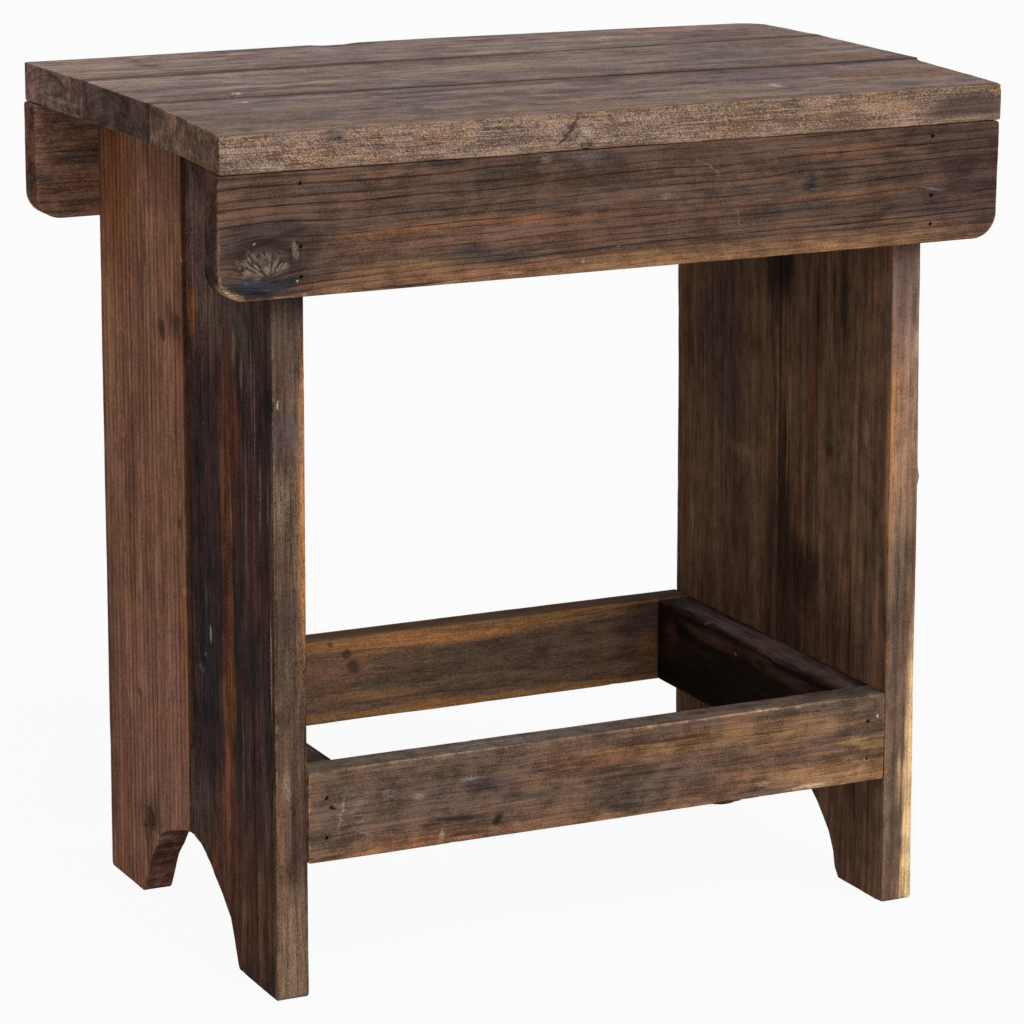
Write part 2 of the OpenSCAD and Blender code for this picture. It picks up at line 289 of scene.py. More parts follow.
def board(node, lay, seed, arris=1.0, corner=1.6, dents=(), fine={}, shape=None, torn=(), joints=()):
    """A worn board for a node. lay names the axes of its length, its width and its thickness, fine gives
    places of more lattice lines by axis, and joints are places in Y where it meets its neighbours."""
    axes = list(LAYS[lay])
    low, high = (np.array(c) * 1000 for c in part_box(node))
    size = (high - low)[axes]
    dents = [(np.array(c, float), np.array(s, float), deep, hard) for c, s, deep, hard in dents]
    extra = []
    for axis in axes:
        close = [c[axis] - low[axis] + s[axis] * np.linspace(-1.1, 1.1, 8)
                 for c, s, *_ in dents if s[axis] < FINE_DENT]
        extra.append(np.concatenate([*close, np.array(fine.get(axis, [])) - low[axis]]))
    local, quads = box_lattice(*[lattice_lines(*row) for row in zip(size, STEPS, extra)])
    world = np.empty_like(local)
    world[:, axes] = low[axes] + local
    wander = 1 + WANDER * layers(world, (35, 35, 35), seed)
    chips = CHIP_DEEP * np.clip(layers(world, (13, 13, 13), seed + 80) - CHIP_FROM, 0, 1)
    radius = np.clip((arris(world) if callable(arris) else arris) * wander + chips, THINNEST, WIDEST)
    near = np.minimum(local, size - local)
    local, turned = rounded(local, size, radius, corner(world) if callable(corner) else corner)
    points, normals = np.empty_like(local), np.empty_like(local)
    points[:, axes], normals[:, axes] = low[axes] + local, turned
    stretch = np.full(3, ACROSS)
    stretch[axes[0]] = GRAIN
    sunk = 0.5 + 0.5 * layers(world, stretch, seed + 20)
    sunk = np.where(np.abs(turned[:, 0]) > 0.7, 0.5 + 0.5 * layers(world, (5, 5, 5), seed + 40), sunk)
    sunk = 0.6 * sunk + 0.4 * (0.5 + 0.5 * layers(world, (90, 90, 90), seed + 60, 2))
    seam = np.min([np.full(len(world), FAR)] + [np.abs(world[:, axes[1]] - y) for y in joints], axis=0)
    if lay == "upright":
        sunk = np.where(seam < 1, 0, sunk)
    if shape:
        points = shape(points)
    points = points - normals * (RELIEF * np.clip(sunk, 0, 1))[:, None]
    points, dip = dented(points, normals, dents)
    points, share, crest = splintered(points, normals, torn, seed)
    if np.linalg.det(np.eye(3)[axes]) < 0:
        quads = quads[:, ::-1]
    values = {"edge": np.maximum(near[:, 2], np.minimum(near[:, 0], near[:, 1])), "dip": dip,
              "end": np.abs(turned[:, 0]), "side": np.abs(turned[:, 1]), "torn": share, "crest": crest,
              "seam": seam}
    piece = add_mesh(node + "_worn", points, quads, values)
    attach(piece, "root")
    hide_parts(node)
    boards[node] = piece, lay, seed
    print(node, len(quads) * 2, "triangles,", size.round(1), "mm")


print("lattice lines stand", STEPS, "mm apart")

# %% [markdown]
# The top boards aren't rectangles. Their left ends curve inwards, their right ends step, the front joint
# slants, and the front is worn lower than the back. A shape function moves each point of the plain plate
# to that outline.

# %% Outline of the top
UNDERSIDE, TOP = 430.0, 451.0    # mm above the floor
REAR_JOINT = 59.7                # mm, the joint between the middle and the back board


def slanted_joint(x):
    """Place in Y of the joint between the middle and the front board."""
    return np.interp(x, [-225, -12, 60, 176, 225], [-26.5, -32, -33.8, -39.3, -39.0])


def joint_gap(x):
    """The joint is tight at the left and opens to 2.2 mm where the boards have shrunk most."""
    return 0.02 + 0.58 * np.clip((x + 150) / 120, 0, 1) + 1.6 * np.exp(-((x - 75) / 30) ** 2)


def tight(outer, *joints):
    """A radius that falls to 0.3 mm beside a joint, so that the joint stays a thin line."""
    return lambda p: np.interp(np.min([np.abs(p[:, 1] - y) for y in joints], axis=0), [4, 12], [0.3, outer])


def top_height(x, y):
    """Height of the worn top: full at the rear left, lower to the front and at the rear right."""
    front = 1.6 * np.clip((60 - y) / 198, 0, 1)
    rear_right = 1.9 * np.clip(x / 215, 0, 1) ** 1.5 * np.clip((y - 60) / 70, 0, 1)
    return TOP - 0.05 - front - rear_right


def top_shape(y_low, y_high, left, right):
    """Spreads a plate between two edges that depend on X, and between two ends given as places in Y
    with their places in X."""
    def shape(points):
        x, y, z = points.T
        low, high = points.min(0), points.max(0)
        across, along = (y - low[1]) / (high[1] - low[1]), (x - low[0]) / (high[0] - low[0])
        y = y_low(x) + (y_high(x) - y_low(x)) * across
        start, end = np.interp(y, *left), np.interp(y, *right)
        x = start + (end - start) * along
        z = UNDERSIDE + (z - UNDERSIDE) * (top_height(x, y) - UNDERSIDE) / (TOP - UNDERSIDE)
        return np.stack([x, y, z], -1)
    return shape


print("the front joint opens to", joint_gap(75).round(1), "mm, and the top is worn down to",
      top_height(0, -138).round(1), "mm at the front")

# %% Top boards
NAIL_R, NAIL_DEEP, FILLED_DEEP = 1.0, 2.5, 0.3
LEG_MIDS = (-181.5, 174.5)       # places in X over the middle of the legs' edges


def nail_dents(axis, places, deep=NAIL_DEEP):
    """Clean, round dents over nails that were driven in along an axis."""
    size = [FINE_DENT if n == axis else NAIL_R for n in range(3)]
    return [(place, size, deep, DRILLED + 1) for place in places]


def filled_nails(*ys):
    """Nails over the legs, punched down and filled, leave shallow dents."""
    return nail_dents(2, product(LEG_MIDS, ys, [TOP - 1]), FILLED_DEEP)


board("top_board_back", "along_x", 11, arris=tight(1.1, 60), joints=[60.3],
      corner=lambda p: np.where((p[:, 0] > 0) & (p[:, 1] > 99), 15, np.where(p[:, 1] > 90, 2.5, 0.5)),
      dents=filled_nails(78, 90.6) + hollows("-168 98 450.5 6 4.5 2 .8 3, -45 137 450 14 4 3 1 2"),
      shape=top_shape(lambda x: REAR_JOINT + 0.06 + 0 * x, lambda x: 138 + 0 * x,
                      ([60, 138], [-220, -224.6]), ([60, 110, 138], [221, 223, 223.6])))
board("top_board_middle", "along_x", 12, arris=tight(1.1, 60, -40), corner=0.4, joints=[59.7, -40],
      dents=filled_nails(-10.3, 42) + hollows("-164 -13 450 2.6 3.4 2 .7 3, -168 -22 450 1.5 5 2 .8 3"),
      shape=top_shape(lambda x: slanted_joint(x) + joint_gap(x) / 2, lambda x: REAR_JOINT - 0.06 + 0 * x,
                      ([-40, 60], [-216.4, -220]), ([-40, -23, 60], [224.8, 224.8, 221])))
board("top_board_front", "along_x", 13, arris=tight(1.3, -27.5), corner=tight(1.6, -27.5), joints=[-27.5],
      torn=[((-164, -138, 447.5), (7, 4, 3.4), 0.9, (-230, 420)),
            ((-27, -138, 432), (5, 4, 4), 0.6, (-60, 400))],
      dents=filled_nails(-46.3, -90.6) + hollows("""-37 -138 440 1 3 9 .8 4, 104 -97 450 4 6 2 .5 2,
          -171 -42 450 3 2.6 2 .7 3, 213 -138 447 4 4 3 1.2 2"""),
      shape=top_shape(lambda x: -138 + 0 * x, lambda x: slanted_joint(x) - joint_gap(x) / 2,
                      ([-138, -126, -80, -27], [-223.8, -222.2, -218.6, -216.4]),
                      ([-138, -126, -38], [216, 217, 221.6])))

# %% [markdown]
# The aprons stand on edge, with two round lower corners each. Small nails hold them to the legs' edges, and
# a dent goes down to each nail's head, so that the steel of the construction model shows in it.

# %% Aprons
APRON_NAILS = (424, 393, 378)    # mm above the floor


def low_corners(p):
    """A radius of 14 mm at the lower corners, under 399 mm, and of 1.8 mm at the upper ones."""
    return np.where(p[:, 2] < 399, 14.0, 1.8)


TORN_KNOT = [((-203, -138, 386.5), (13, 5, 7), 1.7, (-197, 376)),
             ((-185, -138, 391), (2.2, 4, 5), 1.0, (-180, 372))]
KNOT_LINES = {0: list(np.arange(-219, -182, 0.55)), 2: list(np.arange(375, 400, 0.55))}
board("apron_front", "on_edge_x", 21, corner=low_corners, fine=KNOT_LINES, torn=TORN_KNOT,
      dents=nail_dents(1, product(LEG_MIDS, [-137], APRON_NAILS)))
board("apron_back", "on_edge_x", 22, corner=low_corners,
      dents=nail_dents(1, product(LEG_MIDS, [137], APRON_NAILS)))

# %% [markdown]
# Each leg is two upright boards, with an arch sawn out between the feet by hand. The arch is a table of
# places along its edge, in mm. A plain plate reaches it by lifting its lower end: a point at the floor
# rises by the whole height of the arch, and the lift fades with the cube of the height above the floor.

# %% Shape of the legs
LEG_H = 430.0
ARCH_LEFT = ([-67.6, -66.4, -62, -56.5, -47, -28, -16, -6, 1, 12, 34, 43, 50, 58.5, 63, 70.2, 71.4],
             [0, 2, 13.5, 25, 33, 47, 53, 55.6, 55.4, 52.8, 46, 40.5, 32, 23, 15, 2, 0])
ARCH_RIGHT = ([-72.6, -71, -68.4, -67, -61.7, -54.6, -47.5, -41.3, -28, -14, -2, 12, 30, 43, 54, 63, 70.4,
               71.6], [0, 2, 5.9, 13.6, 24, 31.3, 38.2, 42.7, 50, 54.4, 55.8, 54, 48, 41, 30, 15, 2, 0])
LEAN_Z = [0, 125, 237, 254, 361, 430]      # heights, with the places in X of the right leg's faces
LEAN_INNER = [166.8, 165.8, 165.0, 164.8, 163.1, 163.1]
LEAN_OUTER = [185.4, 183.6, 182.5, 182.2, 180.3, 180.3]
FEET = [*range(-72, -64), *range(65, 73)]
LEG_JOINT, JOINT_PLAY = -1.4, 0.4
REBATE_Y, REBATE_Z, REBATE_DEEP = -28.4, 102.5, 2.5


def arched(points, arch):
    """Lifts the lower end to the arch, whose sawn surface is uneven by up to 0.8 mm. The front board
    grows by the play of its joint, which the construction model leaves open, so that no light shows in it."""
    x, y, z = points.T
    rise = np.interp(y, *arch)
    y = y + JOINT_PLAY * np.clip(1 - np.abs(y - LEG_JOINT) / 6, 0, 1) * (y < LEG_JOINT + 0.1)
    rise = rise + 0.8 * np.clip(rise / 6, 0, 1) * layers(points * (1, 1, 0), (9, 9, 9), 5, 3)
    return np.stack([x, y, z + rise * np.clip(1 - z / LEG_H, 0, 1) ** 3], -1)


def left_leg_rebated(points):
    """Pushes the outer face in by the rebate's depth beside the joint, above the rebate's end, and makes
    the board thicker by 0.6 mm towards the inside."""
    x, y, z = arched(points, ARCH_LEFT).T
    ragged = REBATE_Y + 0.5 * layers(points, (9, 9, 12), 6, 3)
    depth = REBATE_DEEP * np.clip((y - ragged) / 0.8, 0, 1) * np.clip((z - REBATE_Z) / 3, 0, 1)
    share = np.clip((-173 - x) / 17, 0, 1)
    return np.stack([x + depth * share + 0.6 * (1 - share), y, z], -1)


def right_leg(points):
    """Leans the board and makes it thicker towards the floor. A small lump stands out near the front."""
    x, y, z = arched(points, ARCH_RIGHT).T
    share = (x - 166) / 17
    inner, outer = np.interp(z, LEAN_Z, LEAN_INNER), np.interp(z, LEAN_Z, LEAN_OUTER)
    lump = 1.4 * np.exp(-((y + 118) / 2.5) ** 2 - ((z - 238) / 3.5) ** 2)
    return np.stack([inner + (outer - inner + lump) * share, y, z], -1)


def foot_corner(points):
    """Corners of 1.6 mm radius at the top, and of 2.8 mm where the floor has worn them."""
    return np.interp(points[:, 2], [10, 30], [2.8, 1.6])


print("the arches rise to", max(ARCH_LEFT[1]), "and", max(ARCH_RIGHT[1]), "mm")


# %% Legs
def leg_board(node, seed, shape, joint, dents="", rebate=()):
    """A board of a leg, with more lattice lines at its feet and along a rebate."""
    board(node, "upright", seed, tight(1.1, -1), foot_corner, hollows(dents), {1: FEET + list(rebate)}, shape,
          joints=[joint])


leg_board("leg_left_rear_board", 31, lambda p: arched(p, ARCH_LEFT), -1,
          "-190 31 324 2 4 5 .7 2, -190 7 331 2 5 5 .8 2, -190 57 46 3 7 6 .8 2")
leg_board("leg_left_front_board", 32, left_leg_rebated, -1, rebate=np.linspace(-29.6, -26.8, 8))
leg_board("leg_right_rear_board", 33, right_leg, -1)
leg_board("leg_right_front_board", 34, right_leg, LEG_JOINT,
          """165 -80 150 3 .9 42 1.3 3, 165 -89 38 3 .8 34 1 3, 165 -42 318 3 .9 13 .9 3,
          165 -59 336 3 1 10 1 3, 165 -7 236 3 1.1 22 1.1 3, 184.5 -34 62 3 .8 32 1.1 3""")

# %% [markdown]
# The low frame is four boards on edge. The back stretcher's inner upper arris is planed off to a bevel that
# narrows to the right.

# %% Low frame
RAIL_MIDS = (-162.25, 155.25)
STRETCHER_NAILS = (84, 105)
RAIL_NAILS = ((-67.5, 82), (-22.5, 110), (22.5, 82), (67.5, 110))


def back_bevel(p):
    """A radius of 6.5 mm at the left end of the inner upper arris falls to 1.2 mm at the right."""
    inner_top = (p[:, 1] < 111) & (p[:, 2] > 100)
    return np.where(inner_top, np.interp(p[:, 0], [-170, 150], [6.5, 1.2]), 1.1)


def stretched(points):
    """Reaches 0.9 mm nearer to the left leg and hangs 0.7 mm lower, with a low lump under the front one."""
    x, y, z = points.T
    lump = 1.3 * np.exp(-((x - 69) / 6) ** 4 - ((y + 120) / 5) ** 2)
    x = x - 0.9 * np.clip(-x / 171, 0, 1)
    return np.stack([x, y, z - (0.7 + lump) * np.clip((120 - z) / 48, 0, 1)], -1)


for node, seed, y, arris in (("stretcher_front", 41, -119, 1.1), ("stretcher_back", 42, 119, back_bevel)):
    board(node, "on_edge_x", seed, arris, shape=stretched,
          dents=nail_dents(1, product(RAIL_MIDS, [y], STRETCHER_NAILS)))
for node, seed, face_x in (("side_rail_left", 43, -151.5), ("side_rail_right", 44, 144.5)):
    board(node, "on_edge_y", seed, 1.2, dents=nail_dents(0, [(face_x, y, z) for y, z in RAIL_NAILS]))
print("triangles in all:", sum(len(piece.data.polygons) for piece, *_ in boards.values()) * 2)

# %% [markdown]
# A finish is a tree of shader nodes. A helper keeps the wiring readable: each call adds one node, sets or
# links its inputs in order, and returns its output, so that calls can stand inside one another. Effects
# that several boards share become node groups with named sockets.

# %% Colours and wiring
def tone(code):
    """A colour as a paint program writes it, turned into the linear values that shaders use: a value up
    to 0.04045 is divided by 12.92, and a higher one plus 0.055 is divided by 1.055 and raised to 2.4."""
    value = np.array([int(code[n:n + 2], 16) for n in (1, 3, 5)]) / 255
    return (*np.where(value <= 0.04045, value / 12.92, ((value + 0.055) / 1.055) ** 2.4), 1.0)


class Wiring:
    """Adds nodes to one tree and links them."""
    def __init__(self, tree):
        self.tree = tree

    def add(self, kind, *values, out=0, **settings):
        """Adds a node with its settings, feeds its inputs in order and returns one of its outputs."""
        node = self.tree.nodes.new("ShaderNode" + kind)
        for key, value in settings.items():
            setattr(node, key, value)
        for socket, value in zip(node.inputs, values):
            self.feed(socket, value)
        return node.outputs[out]

    def feed(self, socket, value):
        """Links an output to a socket, or writes a plain value on it. None leaves it as it is."""
        if isinstance(value, bpy.types.NodeSocket):
            self.tree.links.new(value, socket)
        elif value is not None:
            socket.default_value = value

    # Sums have short names, because a recipe needs many of them.
    def math(self, kind, *values):
        return self.add("Math", *values, operation=kind)

    def times(self, *values):
        return self.math("MULTIPLY", *values)

    def less(self, *values):
        return self.math("SUBTRACT", *values)

    def vector(self, kind, *values):
        return self.add("VectorMath", *values, operation=kind, out=int(kind == "LENGTH"))

    def moved(self, vector, *offset):
        return self.vector("ADD", vector, offset)

    def ramp(self, value, low, high, start=0.0, end=1.0):
        """Start where the value is low, end where it is high, and a smooth step in between."""
        return self.add("MapRange", value, low, high, start, end, interpolation_type="SMOOTHSTEP")

    def noise(self, vector, size, detail=3.0, rough=0.55, out=0):
        """Noise whose features are about size mm long along each axis."""
        scaled = self.vector("DIVIDE", vector, size)
        return self.add("TexNoise", scaled, None, 1.0, detail, rough, out=out)

    def mix(self, share, below, above, kind="MIX"):
        """The colour below where the share is 0, and the one above where it is 1."""
        return self.add("Mix", share, *[None] * 5, below, above, out=2, data_type="RGBA", blend_type=kind)

    def paint(self, colour, hue, mask, share=None):
        """Lays a hue over the colour where a mask says, as strongly as a share says."""
        mask = mask if share is None else self.times(mask, share)
        return self.mix(mask, colour, tone(hue) if isinstance(hue, str) else hue)

    def tinted(self, colour, *factor):
        """The colour times another: three values, or one colour or socket."""
        return self.mix(1.0, colour, (*factor, 1) if len(factor) == 3 else factor[0], "MULTIPLY")

    def mm(self):
        """The place on the object in mm, which every pattern reads."""
        return self.vector("SCALE", self.add("TexCoord", out="Object"), None, None, 1000.0)

    def value(self, name):
        """Reads a value that the mesh holds for each point."""
        return self.add("Attribute", attribute_name=name, out=2)

    def use(self, group, *values):
        """Places a shared group, feeds its inputs in order and returns all its outputs."""
        node = self.tree.nodes.new("ShaderNodeGroup")
        node.node_tree = group
        for socket, value in zip(node.inputs, values):
            self.feed(socket, value)
        return list(node.outputs)


print("the brown of the apron in linear values:", np.round(tone("#5e493e"), 3))


# %% Finishes and shared effects
def new_finish(name):
    """A new material, its wiring and its main shader."""
    material = bpy.data.materials.new(name)
    material.use_nodes = True
    return material, Wiring(material.node_tree), material.node_tree.nodes["Principled BSDF"]


def effect(name, takes, gives, build):
    """A shared group. takes names its inputs with their usual values. gives names its outputs, of which
    only one called Vector isn't a plain number."""
    tree = bpy.data.node_groups.new(name, "ShaderNodeTree")
    for key, value in takes.items():
        kind = "NodeSocketVector" if isinstance(value, tuple) else "NodeSocketFloat"
        tree.interface.new_socket(name=key, in_out="INPUT", socket_type=kind).default_value = value
    for key in gives:
        kind = "NodeSocketVector" if key == "Vector" else "NodeSocketFloat"
        tree.interface.new_socket(name=key, in_out="OUTPUT", socket_type=kind)
    start, end = (tree.nodes.new("NodeGroup" + side) for side in ("Input", "Output"))
    for socket, result in zip(end.inputs, build(Wiring(tree), *[start.outputs[key] for key in takes])):
        tree.links.new(result, socket)
    print("effect", name, "gives", ", ".join(gives))
    return tree


print("shared effects so far:", len(bpy.data.node_groups))

# %% [markdown]
# Growth rings are the cut through cylinders about the pith, the middle of the trunk. Far from the pith they
# are narrow lines. The late wood of each ring darkens slowly and ends abruptly. Knots push the rings aside,
# so the vector is bent about them before the rings are drawn.

# %% Rings and knots
RING_END = 0.93      # share of a ring at which its late wood is darkest
ZERO = (0, 0, 0)


def build_rings(w, vector, cloud, pith, spacing, wander, width):
    """The distance to the pith, shifted by noise and divided by the spacing, counts the rings, and what
    is left over is the place in a ring. A ring's line rises over its width and ends at RING_END."""
    apart = w.vector("MULTIPLY", w.vector("SUBTRACT", vector, pith), (0, 1, 1))
    distance = w.vector("LENGTH", apart)
    for size, share in (((170, 45, 45), 2.0), ((26, 5, 5), 0.22)):
        shift = w.times(w.less(w.noise(cloud, size, 2.0), 0.5), w.times(wander, share))
        distance = w.math("ADD", distance, shift)
    uneven = w.noise(w.add("CombineXYZ", distance, 0.0, 0.0), (11, 1, 1), 2.0)
    count = w.math("ADD", w.math("DIVIDE", distance, spacing), w.times(uneven, w.times(wander, 0.6)))
    place = w.math("FRACT", count)
    rise = w.ramp(place, w.less(RING_END, width), RING_END)
    line = w.times(rise, w.ramp(place, RING_END, 1.0, 1.0, 0.0))
    ring = w.add("TexWhiteNoise", None, w.math("FLOOR", count), noise_dimensions="1D")
    fade = w.ramp(w.noise(cloud, (60, 12, 12), 2.0), 0.3, 0.6, 0.5, 1.0)
    return w.times(line, w.times(w.ramp(ring, 0.0, 1.0, 0.5, 1.0), fade)), place


rings = effect("growth_rings", {"Vector": ZERO, "Cloud": ZERO, "Pith": (0, 0, -60), "Spacing": 3.0,
                                "Wander": 4.0, "Width": 0.35}, ["Line", "Place"], build_rings)


def build_knot(w, vector, centre, size, push):
    """Reach is the distance from the knot's centre over its size. The push falls off as e to the power of
    minus the reach, and the vector is drawn in by it, so that the rings seem to move out."""
    apart = w.vector("SUBTRACT", vector, centre)
    reach = w.vector("LENGTH", w.vector("DIVIDE", apart, size))
    pull = w.times(push, w.math("EXPONENT", w.times(reach, -1.0)))
    push_out = w.vector("SCALE", w.vector("NORMALIZE", apart), None, None, pull)
    return w.vector("SUBTRACT", vector, push_out), reach


knot = effect("knot", {"Vector": ZERO, "Centre": ZERO, "Size": (1, 1, 1), "Push": 4.0},
              ["Vector", "Reach"], build_knot)

# %% [markdown]
# Between the rings, wood shows grit, fine fibres, streaks, broad bands and a mottling, which differ in size
# and in how far they stretch along the grain. A spot is a soft ellipsoid. Wear follows the distance to the
# arris, which each mesh holds, and noise makes it ragged. Speckle leaves only the peaks of noise.

# %% Fibres, spots, wear and speckle
#          length, width and depth in mm, detail, roughness, and the range of noise that the band spans
BANDS = {"Grit": ((1.3, 0.7, 0.7), 2.0, 0.75, 0.32, 0.68), "Fine": ((18, 0.6, 0.6), 2.0, 0.6, 0.32, 0.68),
         "Streak": ((110, 1.8, 1.8), 4.0, 0.6, 0.34, 0.66), "Broad": ((150, 9, 9), 4.0, 0.6, 0.36, 0.64),
         "Mottle": ((17, 12, 12), 5.0, 0.68, 0.36, 0.64)}


def build_fibre(w, cloud):
    """Noise for each band of the table, spread so that its range runs from 0 to 1."""
    return [w.ramp(w.noise(cloud, size, detail, rough), low, high)
            for size, detail, rough, low, high in BANDS.values()]


def build_spot(w, vector, centre, size, turn, soft):
    """Turns the vector about the centre. The distance over the size is 1 at the rim, and the mask falls
    there from 1 to 0, as softly as it is told."""
    turned = w.add("VectorRotate", vector, centre, None, None, turn, rotation_type="EULER_XYZ")
    reach = w.vector("LENGTH", w.vector("DIVIDE", w.vector("SUBTRACT", turned, centre), size))
    return (w.ramp(reach, w.math("ADD", 1.0, soft), w.less(1.0, soft)),)


def build_wear(w, vector, reach, ragged):
    """1 at the arris and 0 at the reach. Noise makes the distance longer or shorter."""
    torn = w.times(w.less(w.noise(vector, (5, 5, 5), 4.0, 0.65), 0.5), ragged)
    return (w.ramp(w.math("ADD", w.value("edge"), torn), reach, 0.0),)


def build_speckle(w, vector, size, share):
    """Fine noise, and a mask of its peaks. A larger share lowers the bar that they have to pass."""
    grit = w.noise(w.vector("SCALE", vector, None, None, w.math("DIVIDE", 1.0, size)), (1, 1, 1), 2.0, 0.6)
    return w.ramp(grit, w.less(0.72, share), w.less(0.8, share)), grit


fibre = effect("wood_fibre", {"Cloud": ZERO}, BANDS, build_fibre)
spot = effect("spot", {"Vector": ZERO, "Centre": ZERO, "Size": (1, 1, 1), "Turn": ZERO, "Soft": 0.3},
              ["Mask"], build_spot)
wear = effect("arris_wear", {"Vector": ZERO, "Reach": 1.5, "Ragged": 6.0}, ["Mask"], build_wear)
speckle = effect("speckle", {"Vector": ZERO, "Size": 1.0, "Share": 0.1}, ["Mask", "Grit"], build_speckle)

# %% [markdown]
# Old wood has many spots: stains under the grain, because they soak in, and chips, cracks and scratches
# over it. They stand in tables, as the dents do.

# %% Read a table of spots
def spots(table):
    """Spots on faces. A row that begins with a word such as y-138:30 names a face by its axis and its
    place, and how far spots reach through it. Each row gives a spot's centre and size along the other
    two axes in mm, its colour, strength and softness, and sometimes its turn on the face in degrees."""
    for words in rows(table):
        if ":" in words[0]:
            face = words.pop(0)
            axis, (place, deep) = "xyz".index(face[0]), map(float, face[1:].split(":"))
        u, v, long, wide = map(float, words[:4])
        strength, soft, turn = map(float, (words[5:] + ["0"])[:3])
        centre, size, turned = ([*pair[:axis], middle, *pair[axis:]] for pair, middle in (
            ([u, v], place), ([long, wide], deep), ([0, 0], math.radians(turn))))
        yield centre, size, turned, "#" + words[4], strength, soft


print("a spot:", next(spots("y-138:30 60 370 170 6 89664a .85 .7")))

# %% [markdown]
# All boards share one recipe for old wood, with their own values, in steps that each change the colour so
# far. First come the hue and its stains, and the rough surface where a side was left from the saw.

# %% Hue and sawn sides
TURNS = {"along_x": ZERO, "on_edge_x": ZERO, "upright": (0, math.pi / 2, 0),
         "on_edge_y": (0, 0, -math.pi / 2)}
SAW_SLANT = math.radians(38)


def made(*steps):
    """Says which steps of the recipe a cell has made."""
    print("made:", ", ".join(step.__name__ for step in steps))


def torn_places(w, mm, lay, seed):
    """The place in mm, pushed about by noise that is long along the grain: strongly, so that stains fray,
    and mildly for small marks."""
    thread = [1 if axis == LAYS[lay][0] else 0.1 for axis in range(3)]
    moved = w.moved(mm, seed * 31.0, seed * 17.0, seed * 7.0)
    torn = w.noise(moved, [60 * t for t in thread], 4.0, 0.6, out=1)
    torn = w.vector("SUBTRACT", torn, (0.5, 0.5, 0.5))
    return [w.vector("MULTIPLY_ADD", torn, [k * (40 * t + 8) for t in thread], mm) for k in (1.0, 0.22)]


def stained(w, colour, cloud, ragged, clouds, stains):
    """Patches of other hues: clouds have a colour, a length, a width and a share of the board."""
    for n, (code, long, wide, share) in enumerate(rows(clouds)):
        long, wide, share = float(long), float(wide), float(share) * 0.3
        patch = w.noise(w.moved(cloud, 0, 0, 400.0 * n), (long, wide, wide), 4.0, 0.6)
        colour = w.paint(colour, "#" + code, w.ramp(patch, 0.64 - share, 0.78 - share))
    for *form, hue, strength, soft in spots(stains):
        colour = w.paint(colour, hue, w.use(spot, ragged, *form, soft)[0], strength)
    return colour


def sawn(w, colour, height, mm, axis, at, deep, code, rough):
    """A side left from the saw, deep mm about its place on an axis: pits in slanted rows, pale dust on
    the crests, and hues that change from orange to grey along it."""
    near = w.add("SeparateXYZ", mm, out=axis)
    mask = w.ramp(w.math("ABSOLUTE", w.less(near, at)), deep, deep * 0.5)
    colour = w.paint(colour, code, mask)
    dust, coarse = w.use(speckle, mm, 0.55, 0.19)
    hue = w.noise(w.moved(mm, 300, 0, 0), (20, 9, 10), 3.0, 0.6)
    colour = w.paint(colour, "#99724f", mask, w.ramp(hue, 0.5, 0.64, 0.0, 0.5))
    colour = w.paint(colour, "#65534f", mask, w.ramp(hue, 0.5, 0.36, 0.0, 0.6))
    slanted = w.add("Mapping", mm, ZERO, (0, SAW_SLANT, 0))
    deepest = w.ramp(hue, 0.35, 0.6, 0.5 * rough, rough)
    pits = w.ramp(w.noise(slanted, (0.8, 0.8, 4.5), 3.0, 0.75), 0.5, 0.36, 0.0, deepest)
    colour = w.paint(colour, "#3d2f27", mask, pits)
    colour = w.paint(colour, "#c1a58d", mask, w.times(dust, rough))
    return colour, w.math("ADD", height, w.times(w.times(coarse, mask), 1.4 * rough))


made(torn_places, stained, sawn)

# %% [markdown]
# Then the grain darkens and lightens the hue. End grain is cut across the fibres: it drinks more dirt, so
# it is darker, and shows arcs of rings, patches and small drying cracks.

# %% Grain and end grain
def grained(w, colour, bands, weights, contrast, calm):
    """Weighs the bands into a level about 0.5, with calm as how much less grain narrow sides show, and
    multiplies the colour by a shade that goes as far as the contrast to both sides of 1."""
    level = 0.5 - sum(weights) / 2
    for band, weight in zip(bands, weights):
        level = w.math("MULTIPLY_ADD", band, weight, level)
    if calm:
        share = w.ramp(w.value("side"), 0.2, 0.8, 1.0, 1 - calm)
        level = w.math("MULTIPLY_ADD", w.less(level, 0.5), share, 0.5)
    low, high = 1 - contrast, 1 + contrast
    shade = w.mix(level, (low, low * 0.97, low * 0.94, 1), (high, high * 0.99, high * 0.96, 1))
    return w.tinted(colour, shade), shade, level


def ringed(w, colour, mm, end, line, place, lines, end_tint):
    """Darkens the colour along the rings' lines. On end grain it is also multiplied by arcs between a
    lighter and a darker tint, by patches, and by small checks."""
    drawn = w.ramp(end, 0.0, 1.0, lines, 0.35 * lines)
    colour = w.paint(colour, w.tinted(colour, 0.30, 0.25, 0.24), line, drawn)
    arcs = w.mix(place, (*[1.22 * t for t in end_tint], 1), (*[0.88 * t for t in end_tint], 1))
    patches = w.ramp(w.noise(w.moved(mm, 0, 0, 70), (30, 14, 9), 5.0, 0.7), 0.38, 0.6)
    arcs = w.tinted(arcs, w.mix(patches, (0.68, 0.66, 0.68, 1), (1.34, 1.32, 1.28, 1)))
    checks = w.ramp(w.noise(mm, (30, 4, 9), 4.0, 0.7), 0.49, 0.4)
    arcs = w.paint(arcs, (0.24, 0.2, 0.19, 1), checks, 0.6)
    return w.paint(colour, w.tinted(colour, arcs), end)


made(grained, ringed)
